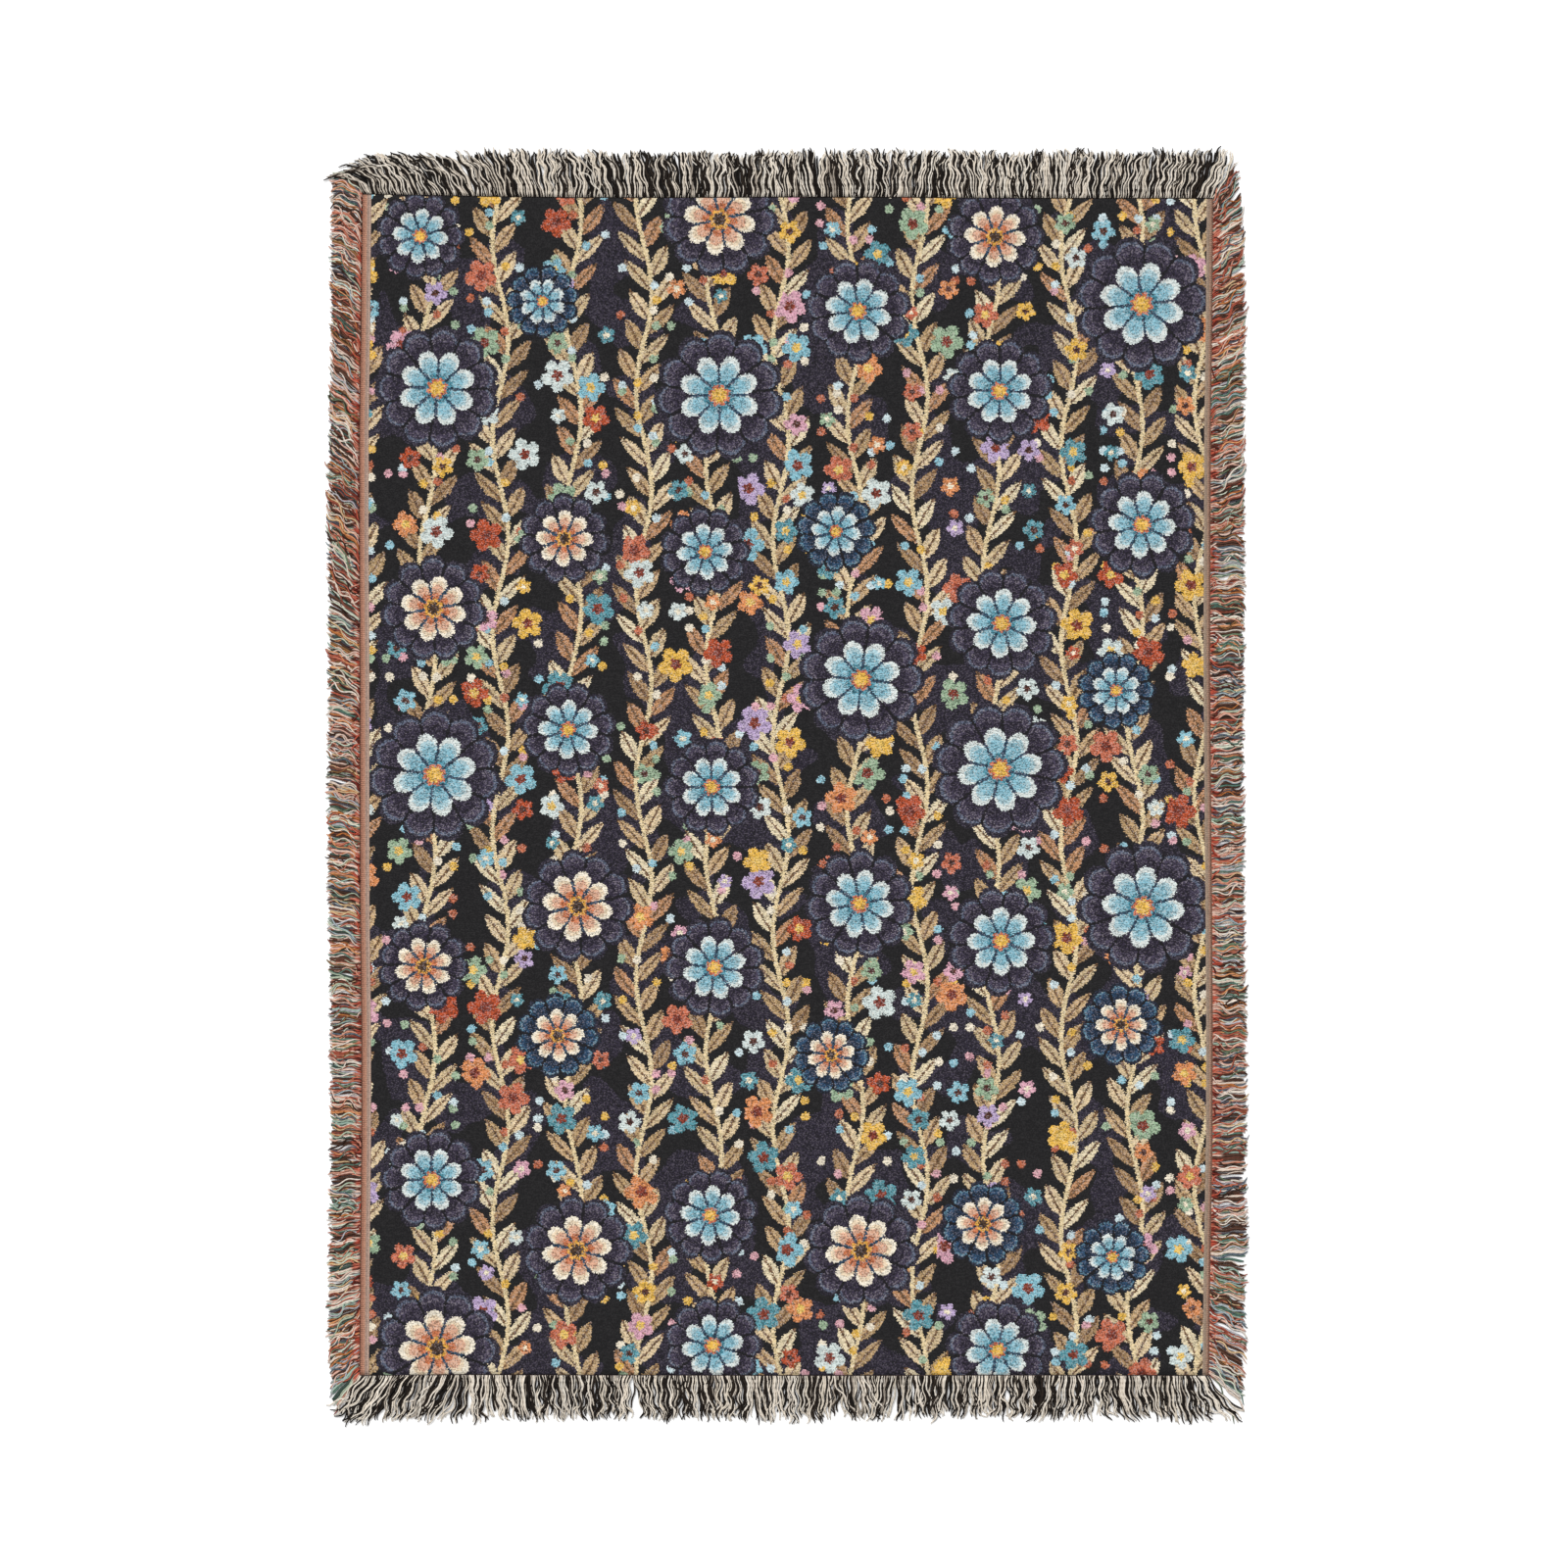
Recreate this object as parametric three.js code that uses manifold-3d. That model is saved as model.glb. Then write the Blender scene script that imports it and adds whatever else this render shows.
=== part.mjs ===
// Tapestry throw blanket, laid out flat, face up: one woven panel with a selvage down each long side,
// a fringe of warp ends at its head and foot, and a fringe of weft ends down both sides.
// Millimetres, +Z up, +Y towards the head. The underside lies in the plane z = 0 and the origin is
// the middle of the blanket's outline there.
import * as THREE from "three";
import Module from "manifold-3d";

const wasm = await Module();
wasm.setup();

// Driving dimensions of the woven panel
const PANEL = { width: 866, length: 1200, thickness: 2.4, columns: 8, rows: 10, colour: 0x5d5660 };
// The selvage is the thinner, plain-woven band down each long side, and ramp is its slope up to the face
const SELVAGE = { left: 9, right: 6, thickness: 1.9, ramp: 1.5 };
// The lock-stitched strip that holds the fringe's roots, parted from the panel's edge by the gap
const STITCHED_STRIP = { width: 3, thickness: 2.2, gap: 0.3 };
// A lock of fringe yarn: rootDepth is how far it starts inside the strip, spread is its widest share of the
// room it has, wave, turns and phaseStep are its sideways wander, bend is how late it turns to its lean, and
// bevel is the share by which its upper face is narrower than its underside
const LOCK = { rootDepth: 2, spread: 0.82, wave: 1.3, turns: 1.1, phaseStep: 0.8, bend: 0.6, bevel: 0.18 };
// How much each lock departs from its neighbours
const UNEVEN = { leanDegrees: 1.5, lengthShare: 0.05 };
// Matt cotton yarn, with no metal in it
const COTTON = { roughness: 0.95, metalness: 0 };

// How far each long edge bulges outwards, by the share of the way up from the foot
const SIDE_DRIFT = [
  { share: 0.0, left: 1.0, right: -2.0 },
  { share: 0.25, left: -1.5, right: 2.0 },
  { share: 0.42, left: 0.5, right: 1.0 },
  { share: 0.58, left: 0.5, right: -1.0 },
  { share: 0.75, left: 1.5, right: -0.5 },
  { share: 1.0, left: -1.5, right: 2.5 },
];

// How far the head and foot edges bulge outwards, by the share of the way from left to right
const END_DRIFT = [
  { share: 0.0, head: 3.5, foot: 0.5 },
  { share: 0.08, head: 1.5, foot: -0.5 },
  { share: 0.3, head: -0.5, foot: 0.0 },
  { share: 0.55, head: 0.5, foot: 0.5 },
  { share: 0.8, head: -1.0, foot: 0.0 },
  { share: 1.0, head: -1.0, foot: 0.5 },
];

// A lock's section from its root to its tip: width as a share of its widest, height in millimetres
const LOCK_SHAPE = [
  { along: 0.0, width: 0.75, height: 1.9 },
  { along: 0.34, width: 1.0, height: 2.9 },
  { along: 0.7, width: 0.92, height: 2.6 },
  { along: 1.0, width: 0.55, height: 1.3 },
];

// Each fringe fans out at its corners: lean is in degrees towards the end of the edge where share is 1
const FRINGES = {
  fringe_head: {
    locks: 62,
    colour: 0x8b8478,
    lay: [
      { share: 0.0, lean: -56, length: 51 },
      { share: 0.04, lean: -42, length: 50 },
      { share: 0.1, lean: -27, length: 48 },
      { share: 0.2, lean: -12, length: 46 },
      { share: 0.35, lean: -3, length: 45 },
      { share: 0.6, lean: 2, length: 45 },
      { share: 0.85, lean: 8, length: 46 },
      { share: 0.95, lean: 20, length: 51 },
      { share: 1.0, lean: 30, length: 57 },
    ],
  },
  fringe_foot: {
    locks: 62,
    colour: 0x8b8478,
    lay: [
      { share: 0.0, lean: -38, length: 60 },
      { share: 0.04, lean: -33, length: 56 },
      { share: 0.1, lean: -20, length: 51 },
      { share: 0.2, lean: -7, length: 47 },
      { share: 0.5, lean: 1, length: 46 },
      { share: 0.85, lean: 3, length: 46 },
      { share: 0.94, lean: 14, length: 49 },
      { share: 1.0, lean: 38, length: 52 },
    ],
  },
  fringe_left: {
    locks: 88,
    colour: 0x9c7060,
    lay: [
      { share: 0.0, lean: -44, length: 43 },
      { share: 0.04, lean: -30, length: 38 },
      { share: 0.1, lean: -13, length: 33 },
      { share: 0.25, lean: -3, length: 32 },
      { share: 0.5, lean: 5, length: 32 },
      { share: 0.75, lean: 17, length: 33 },
      { share: 0.95, lean: 27, length: 36 },
      { share: 1.0, lean: 30, length: 37 },
    ],
  },
  fringe_right: {
    locks: 88,
    colour: 0x9c7060,
    lay: [
      { share: 0.0, lean: -40, length: 46 },
      { share: 0.04, lean: -24, length: 38 },
      { share: 0.12, lean: -10, length: 34 },
      { share: 0.35, lean: 0, length: 33 },
      { share: 0.65, lean: 3, length: 33 },
      { share: 0.85, lean: 14, length: 34 },
      { share: 0.95, lean: 29, length: 37 },
      { share: 1.0, lean: 38, length: 38 },
    ],
  },
};

// The value of one column of a table at a place along its key, eased between the two nearest rows
function lookUp(table, key, column, place) {
  const after = table.findIndex((row) => row[key] >= place);
  if (after <= 0) return table[after === 0 ? 0 : table.length - 1][column];
  const low = table[after - 1];
  const high = table[after];
  const ease = THREE.MathUtils.smoothstep(place, low[key], high[key]);
  return THREE.MathUtils.lerp(low[column], high[column], ease);
}

// A repeatable number from -1 to 1 for each lock and each of its qualities, so that it lies in its own way
const QUALITIES = { lean: 0, length: 1 };
function scatter(index, quality) {
  const seed = index * Object.keys(QUALITIES).length + QUALITIES[quality];
  return 2 * THREE.MathUtils.seededRandom(seed) - 1;
}

// A point of the panel in plan, at shares of its width from the left and of its length from the foot
function planPoint(across, up) {
  const left = -PANEL.width / 2 - lookUp(SIDE_DRIFT, "share", "left", up);
  const right = PANEL.width / 2 + lookUp(SIDE_DRIFT, "share", "right", up);
  const foot = -PANEL.length / 2 - lookUp(END_DRIFT, "share", "foot", across);
  const head = PANEL.length / 2 + lookUp(END_DRIFT, "share", "head", across);
  return new THREE.Vector2(THREE.MathUtils.lerp(left, right, across), THREE.MathUtils.lerp(foot, head, up));
}

const evenShares = (steps) => Array.from({ length: steps + 1 }, (_, i) => i / steps);

// The lines of the panel's grid, as shares, and the height of its face on each line down its length
const PANEL_ROWS = evenShares(PANEL.rows);
const PANEL_COLUMNS = [
  { share: 0, z: SELVAGE.thickness },
  { share: SELVAGE.left / PANEL.width, z: SELVAGE.thickness },
  { share: (SELVAGE.left + SELVAGE.ramp) / PANEL.width, z: PANEL.thickness },
  ...evenShares(PANEL.columns)
    .slice(1, -1)
    .map((share) => ({ share, z: PANEL.thickness })),
  { share: 1 - (SELVAGE.right + SELVAGE.ramp) / PANEL.width, z: PANEL.thickness },
  { share: 1 - SELVAGE.right / PANEL.width, z: SELVAGE.thickness },
  { share: 1, z: SELVAGE.thickness },
];

// A closed solid between two grids of points, rows of equal length, with the top grid's columns to the
// right of the way its rows run
function solidBetween(top, bottom) {
  const rows = top.length;
  const columns = top[0].length;
  const points = [...top.flat(), ...bottom.flat()];
  const topAt = (r, c) => r * columns + c;
  const bottomAt = (r, c) => rows * columns + topAt(r, c);
  const triangles = [];
  const quad = (a, b, c, d) => triangles.push(a, b, c, a, c, d);
  for (let r = 0; r + 1 < rows; r++) {
    for (let c = 0; c + 1 < columns; c++) {
      quad(topAt(r, c), topAt(r, c + 1), topAt(r + 1, c + 1), topAt(r + 1, c));
      quad(bottomAt(r, c), bottomAt(r + 1, c), bottomAt(r + 1, c + 1), bottomAt(r, c + 1));
    }
  }
  const wall = (a, b) => quad(topAt(...b), topAt(...a), bottomAt(...a), bottomAt(...b));
  for (let c = 0; c + 1 < columns; c++) {
    wall([0, c], [0, c + 1]);
    wall([rows - 1, c + 1], [rows - 1, c]);
  }
  for (let r = 0; r + 1 < rows; r++) {
    wall([r + 1, 0], [r, 0]);
    wall([r, columns - 1], [r + 1, columns - 1]);
  }
  return new THREE.BufferGeometry().setFromPoints(points).setIndex(triangles);
}

// A grid dropped straight down onto the plane the blanket lies on
const dropped = (grid) => grid.map((row) => row.map((p) => new THREE.Vector3(p.x, p.y, 0)));

// The woven panel with its two selvages, as one sheet
function panelGeometry() {
  const top = PANEL_ROWS.map((up) =>
    PANEL_COLUMNS.map(({ share, z }) => {
      const plan = planPoint(share, up);
      return new THREE.Vector3(plan.x, plan.y, z);
    }),
  );
  return solidBetween(top, dropped(top));
}

// Each fringed edge: its points by share, the ways along it and out of it, and the grid lines that meet it
const xAxis = new THREE.Vector2(1, 0);
const yAxis = new THREE.Vector2(0, 1);
const endShares = PANEL_COLUMNS.map(({ share }) => share);
const EDGES = {
  fringe_head: { at: (s) => planPoint(s, 1), along: xAxis, out: yAxis, shares: endShares },
  fringe_foot: { at: (s) => planPoint(s, 0), along: xAxis, out: yAxis.clone().negate(), shares: endShares },
  fringe_left: { at: (s) => planPoint(0, s), along: yAxis, out: xAxis.clone().negate(), shares: PANEL_ROWS },
  fringe_right: { at: (s) => planPoint(1, s), along: yAxis, out: xAxis, shares: PANEL_ROWS },
};

// The stitched strip along an edge, clear of the panel by its gap
function stripGeometry({ at, along, out, shares }) {
  const { gap, width, thickness } = STITCHED_STRIP;
  const outLiesRight = along.cross(out) < 0;
  const sides = outLiesRight ? [gap, gap + width] : [gap + width, gap];
  const top = shares.map((share) =>
    sides.map((distance) => {
      const plan = at(share).addScaledVector(out, distance);
      return new THREE.Vector3(plan.x, plan.y, thickness);
    }),
  );
  return solidBetween(top, dropped(top));
}

// The middle line of a lock, as a function of the share of the way from its root to its tip
function lockLine({ at, along, out }, lay, share, index) {
  const leanDegrees = lookUp(lay, "share", "lean", share) + UNEVEN.leanDegrees * scatter(index, "lean");
  const lean = THREE.MathUtils.degToRad(leanDegrees);
  const uneven = 1 + UNEVEN.lengthShare * scatter(index, "length");
  const length = lookUp(lay, "share", "length", share) * uneven;
  const phase = LOCK.phaseStep * index;
  const rootOffset = STITCHED_STRIP.gap + STITCHED_STRIP.width - LOCK.rootDepth;
  return (t) => {
    const turned = lean * t ** LOCK.bend;
    const wander = LOCK.wave * t * Math.sin(phase + 2 * Math.PI * LOCK.turns * t);
    return at(share)
      .addScaledVector(out, rootOffset + length * t * Math.cos(turned))
      .addScaledVector(along, length * t * Math.sin(turned) + wander);
  };
}

// One lock: a four-sided tapering bar that lies level on the plane along its wavy line
function lockGeometry(edge, { lay, locks }, index) {
  const share = (index + 0.5) / locks;
  const line = lockLine(edge, lay, share, index);
  const pitch = edge.at(0).distanceTo(edge.at(1)) / locks;
  const room = pitch * Math.cos(THREE.MathUtils.degToRad(lookUp(lay, "share", "lean", share)));
  const nearby = 0.02; // the share of the lock over which its way is measured
  const top = [];
  const bottom = [];
  for (const { along, width, height } of LOCK_SHAPE) {
    const way = line(along + nearby).sub(line(Math.max(0, along - nearby))).normalize();
    const right = new THREE.Vector2(way.y, -way.x);
    const half = (room * LOCK.spread * width) / 2;
    const corner = (offset, z) => {
      const plan = line(along).addScaledVector(right, offset);
      return new THREE.Vector3(plan.x, plan.y, z);
    };
    const upperHalf = half * (1 - LOCK.bevel);
    top.push([corner(-upperHalf, height), corner(upperHalf, height)]);
    bottom.push([corner(-half, 0), corner(half, 0)]);
  }
  return solidBetween(top, bottom);
}

// A closed geometry as a manifold-3d solid
function toManifold(geometry) {
  return new wasm.Manifold(
    new wasm.Mesh({
      numProp: 3,
      vertProperties: geometry.attributes.position.array,
      triVerts: new Uint32Array(geometry.index.array),
    }),
  );
}

// A manifold-3d solid as a geometry
function toGeometry(solid) {
  const { vertProperties, triVerts } = solid.getMesh();
  return new THREE.BufferGeometry()
    .setAttribute("position", new THREE.BufferAttribute(vertProperties, 3))
    .setIndex(new THREE.BufferAttribute(triVerts, 1));
}

// A fringe: its stitched strip with every lock's root fused into it
function fringeGeometry(name) {
  const edge = EDGES[name];
  const fringe = FRINGES[name];
  const locks = Array.from({ length: fringe.locks }, (_, i) => toManifold(lockGeometry(edge, fringe, i)));
  return toGeometry(wasm.Manifold.union([toManifold(stripGeometry(edge)), ...locks]));
}

function namedMesh(name, geometry, colour) {
  geometry.computeVertexNormals();
  const material = new THREE.MeshStandardMaterial({ color: colour, ...COTTON });
  const mesh = new THREE.Mesh(geometry, material);
  mesh.name = name;
  return mesh;
}

const blanket = new THREE.Group();
blanket.add(namedMesh("woven_panel", panelGeometry(), PANEL.colour));
for (const [name, { colour }] of Object.entries(FRINGES)) {
  blanket.add(namedMesh(name, fringeGeometry(name), colour));
}

// The outline's middle goes to the origin
const outline = new THREE.Box3().setFromObject(blanket, true);
const middle = outline.getCenter(new THREE.Vector3());
blanket.position.set(-middle.x, -middle.y, 0);

export default blanket;
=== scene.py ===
"""Looks of a tapestry throw blanket that lies flat, face up, with a yarn fringe on every edge.

Everything stands in the part's own frame, in metres, with +Z up out of the face and +Y towards the head.
Sizes that a weaver gives in millimetres are fields in millimetres, and MM turns them into metres.
"""
import logging
import math
from dataclasses import dataclass, field
from enum import Enum
from functools import partial
from typing import Any, Callable, Sequence, Union

import bpy
import numpy as np
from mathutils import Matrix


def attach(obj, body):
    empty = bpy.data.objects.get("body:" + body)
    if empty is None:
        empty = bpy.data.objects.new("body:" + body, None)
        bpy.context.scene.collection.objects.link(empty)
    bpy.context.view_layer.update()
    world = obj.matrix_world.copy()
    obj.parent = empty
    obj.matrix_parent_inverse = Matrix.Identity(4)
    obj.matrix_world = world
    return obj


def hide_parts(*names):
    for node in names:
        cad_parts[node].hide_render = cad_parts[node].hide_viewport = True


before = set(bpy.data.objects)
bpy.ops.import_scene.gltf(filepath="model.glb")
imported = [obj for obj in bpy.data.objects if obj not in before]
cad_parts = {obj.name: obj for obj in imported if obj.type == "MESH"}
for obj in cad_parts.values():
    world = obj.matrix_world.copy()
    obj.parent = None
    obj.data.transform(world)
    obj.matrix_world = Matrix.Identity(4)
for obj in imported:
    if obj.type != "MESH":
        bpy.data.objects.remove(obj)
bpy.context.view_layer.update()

MM = 0.001
TURN = 2 * math.pi
GOLDEN_SHARE = (math.sqrt(5) - 1) / 2
HALVES = (0.5, 0.5, 0)
BODY = "root"
BAKE_MAP = "OFBake"

log = logging.getLogger("blanket")

Array = np.ndarray
Pair = tuple[float, float]
Colour = tuple[float, float, float, float]
Feed = Union[bpy.types.Node, bpy.types.NodeSocket, float, Sequence[float], None]
AddNode = Callable[..., bpy.types.Node]


def linear(colour: str) -> Colour:
    """Turns an sRGB hex colour into the linear one that shaders and colour attributes take.

    Args:
        colour: The colour as "#rrggbb".

    Returns:
        Linear red, green and blue, by the sRGB standard's own formula, and an alpha of 1.
    """
    channels = [int(colour[place : place + 2], 16) / 255 for place in (1, 3, 5)]
    red, green, blue = (c / 12.92 if c <= 0.04045 else ((c + 0.055) / 1.055) ** 2.4 for c in channels)
    return (red, green, blue, 1.0)


@dataclass(frozen=True)
class Ramp:
    """Colours along a line: (place, hex colour) from 0 to 1, stepped as a chart or blended."""

    stops: tuple[tuple[float, str], ...]
    stepped: bool = True


def even_ramp(*colours: str) -> Ramp:
    """Returns a stepped ramp that gives each colour an equal share."""
    return Ramp(tuple((place / len(colours), colour) for place, colour in enumerate(colours)))


def add_node(tree: bpy.types.NodeTree, kind: str, *feeds: Feed, **settings: Any) -> bpy.types.Node:
    """Adds one node, with its settings and what feeds it.

    Args:
        tree: The material's node tree.
        kind: The node's type, without "ShaderNode" in front.
        feeds: What goes into each input that is in use, in turn: a node, one of a node's outputs, a
            constant, or None to leave the input alone.
        settings: The node's properties. "ramp" is a colour ramp's Ramp, and "named" holds feeds by the
            name of their input.

    Returns:
        The new node. A node that feeds another gives its first output that is in use.
    """
    ramp = settings.pop("ramp", None)
    named = settings.pop("named", {})
    node = tree.nodes.new("ShaderNode" + kind)
    for name, value in settings.items():
        setattr(node, name, value)
    if ramp:
        line = node.color_ramp
        line.interpolation = "CONSTANT" if ramp.stepped else "LINEAR"
        while len(line.elements) < len(ramp.stops):
            line.elements.new(1.0)
        for element, (place, colour) in zip(line.elements, ramp.stops):
            element.position = place
            element.color = linear(colour)
    in_use = [socket for socket in node.inputs if socket.enabled]
    pairs = [*zip(in_use, feeds), *((node.inputs[name], feed) for name, feed in named.items())]
    for socket, feed in pairs:
        if isinstance(feed, bpy.types.Node):
            feed = next(output for output in feed.outputs if output.enabled)
        if isinstance(feed, bpy.types.NodeSocket):
            tree.links.new(feed, socket)
        elif feed is not None:
            socket.default_value = feed
    return node


def new_material(name: str) -> tuple[bpy.types.Material, AddNode]:
    """Starts a material with no nodes.

    Args:
        name: What the real material is called.

    Returns:
        The material, and add_node bound to its tree.
    """
    material = bpy.data.materials.new(name)
    material.use_nodes = True
    material.node_tree.nodes.clear()
    return material, partial(add_node, material.node_tree)


def mesh_piece(
    name: str, points: Array, faces: Sequence[Array], corners: dict[str, Array]
) -> bpy.types.Object:
    """Makes a smooth-shaded mesh object from arrays.

    Args:
        name: The piece's name.
        points: Its points, n × 3, in metres.
        faces: Arrays of point numbers, one row for each face.
        corners: UV maps by name, with a row for each corner of each face, in the faces' order.

    Returns:
        The object, linked into the scene.
    """
    mesh = bpy.data.meshes.new(name)
    mesh.from_pydata(points.tolist(), [], [row for block in faces for row in block.tolist()])
    for map_name, places in corners.items():
        layer = mesh.uv_layers.new(name=map_name)
        layer.data.foreach_set("uv", places.astype(np.float32).ravel())
    mesh.shade_smooth()
    piece = bpy.data.objects.new(name, mesh)
    bpy.context.scene.collection.objects.link(piece)
    return piece


def point_values(piece: bpy.types.Object, name: str, values: Array) -> None:
    """Stores a value for each point of a mesh.

    Args:
        piece: The mesh object.
        name: The attribute's name.
        values: A number for each point, or a row with its linear colour.
    """
    kind, entry = ("FLOAT", "value") if values.ndim == 1 else ("FLOAT_COLOR", "color")
    attribute = piece.data.attributes.new(name, kind, "POINT")
    attribute.data.foreach_set(entry, values.astype(np.float32).ravel())


def settle(piece: bpy.types.Object, node: str) -> bpy.types.Object:
    """Puts a piece in the place of a solid.

    Args:
        piece: What shows instead of the solid.
        node: The solid's node.

    Returns:
        The piece, which now rides on the body.
    """
    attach(piece, BODY)
    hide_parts(node)
    return piece


# Finishes


@dataclass(frozen=True)
class Cotton:
    """The surface of cotton yarn: matt, with the IOR of cellulose and hardly a gleam."""

    roughness: float = 0.92
    ior: float = 1.53
    gleam: float = 0.25

    def inputs(self) -> dict[str, float]:
        """Returns the constants of its shader, by the name of their input."""
        return {"Roughness": self.roughness, "IOR": self.ior, "Specular IOR Level": self.gleam}


@dataclass(frozen=True)
class Flower:
    """A flower of the woven design: its petals, its full radius, and how deep it is notched between them."""

    petals: int
    radius_mm: float
    notch: float

    def measure(self, node: AddNode, local: Feed, turn: Feed, size: Feed) -> tuple[Feed, Feed, Feed]:
        """Measures a place against the flower.

        Args:
            node: Adds a node.
            local: The place from the flower's middle, in millimetres.
            turn: How far the flower is turned, in petals.
            size: The share of its full radius that it has.

        Returns:
            How far out the place is, with 1 on the outline; its distance from the middle, in millimetres;
            and where it is from 0, on a petal's middle line, to 1, between two petals.
        """
        notch_power = 2.2
        split = node("SeparateXYZ", local)
        angle = node("Math", split.outputs["Y"], split.outputs["X"], operation="ARCTAN2")
        petal = node("Math", angle, self.petals / TURN, turn, operation="MULTIPLY_ADD")
        fold = node("Math", petal, 0.5, operation="PINGPONG")
        between = node("Math", fold, 2.0, operation="MULTIPLY")
        dip = node("Math", between, notch_power, operation="POWER")
        outline = node("Math", dip, -self.notch, 1.0, operation="MULTIPLY_ADD")
        radius = node("Math", size, self.radius_mm, operation="MULTIPLY")
        reach = node("Math", outline, radius, operation="MULTIPLY")
        distance = node("VectorMath", local, operation="LENGTH").outputs["Value"]
        return node("Math", distance, reach, operation="DIVIDE"), distance, between


@dataclass(frozen=True)
class RingedFlower(Flower):
    """A flower in rings of colour, common or rare ones, with a dark seam between petals past its heart."""

    common: Ramp
    rare: Ramp
    rare_share: float
    seam: str
    seam_mm: float
    heart: float = 0.0

    def paint(
        self, node: AddNode, local: Feed, size: Feed, turn: Feed, chance: Feed, under: Feed
    ) -> Feed:
        """Lays the flower over the colours below.

        Args:
            node: Adds a node.
            local: The place from the flower's middle, in millimetres.
            size: The share of its full radius that it has.
            turn: How far it is turned, in petals.
            chance: The number that decides between common and rare rings.
            under: The colours below.

        Returns:
            The colours with the flower in them.
        """
        out, distance, between = self.measure(node, local, turn, size)
        common = node("ValToRGB", out, ramp=self.common)
        rare = node("ValToRGB", out, ramp=self.rare)
        is_rare = node("Math", chance, self.rare_share, operation="LESS_THAN")
        rings = node("Mix", is_rare, common, rare, data_type="RGBA")
        to_seam = node("Math", 1.0, between, operation="SUBTRACT")
        spread = node("Math", to_seam, distance, operation="MULTIPLY")
        near_seam = node("Math", spread, self.seam_mm * self.petals / math.pi, operation="LESS_THAN")
        past_heart = node("Math", out, self.heart, operation="GREATER_THAN")
        on_seam = node("Math", near_seam, past_heart, operation="MULTIPLY")
        seamed = node("Mix", on_seam, rings, linear(self.seam), data_type="RGBA")
        inside = node("Math", out, 1.0, operation="LESS_THAN")
        return node("Mix", inside, under, seamed, data_type="RGBA")


@dataclass(frozen=True)
class Scatter:
    """Small motifs of the woven design: how far apart, how unevenly, in what share of places and colours."""

    pitch_mm: float
    unevenness: float
    share: float
    colours: tuple[str, ...]

    def sow(self, node: AddNode, spot: Feed) -> tuple[bpy.types.Node, bpy.types.Node, Feed, Feed]:
        """Finds the motif nearest to a place.

        Args:
            node: Adds a node.
            spot: The place in the design, in millimetres.

        Returns:
            The motif's cell, three chances of its own, 1 if it is sown or else 0, and its colour.
        """
        spacing = {"Scale": 1 / self.pitch_mm, "Randomness": self.unevenness}
        cell = node("TexVoronoi", spot, voronoi_dimensions="2D", named=spacing)
        dice = node("SeparateXYZ", cell.outputs["Color"])
        sown = node("Math", dice.outputs["X"], self.share, operation="LESS_THAN")
        return cell, dice, sown, node("ValToRGB", dice.outputs["Y"], ramp=even_ramp(*self.colours))


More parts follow.
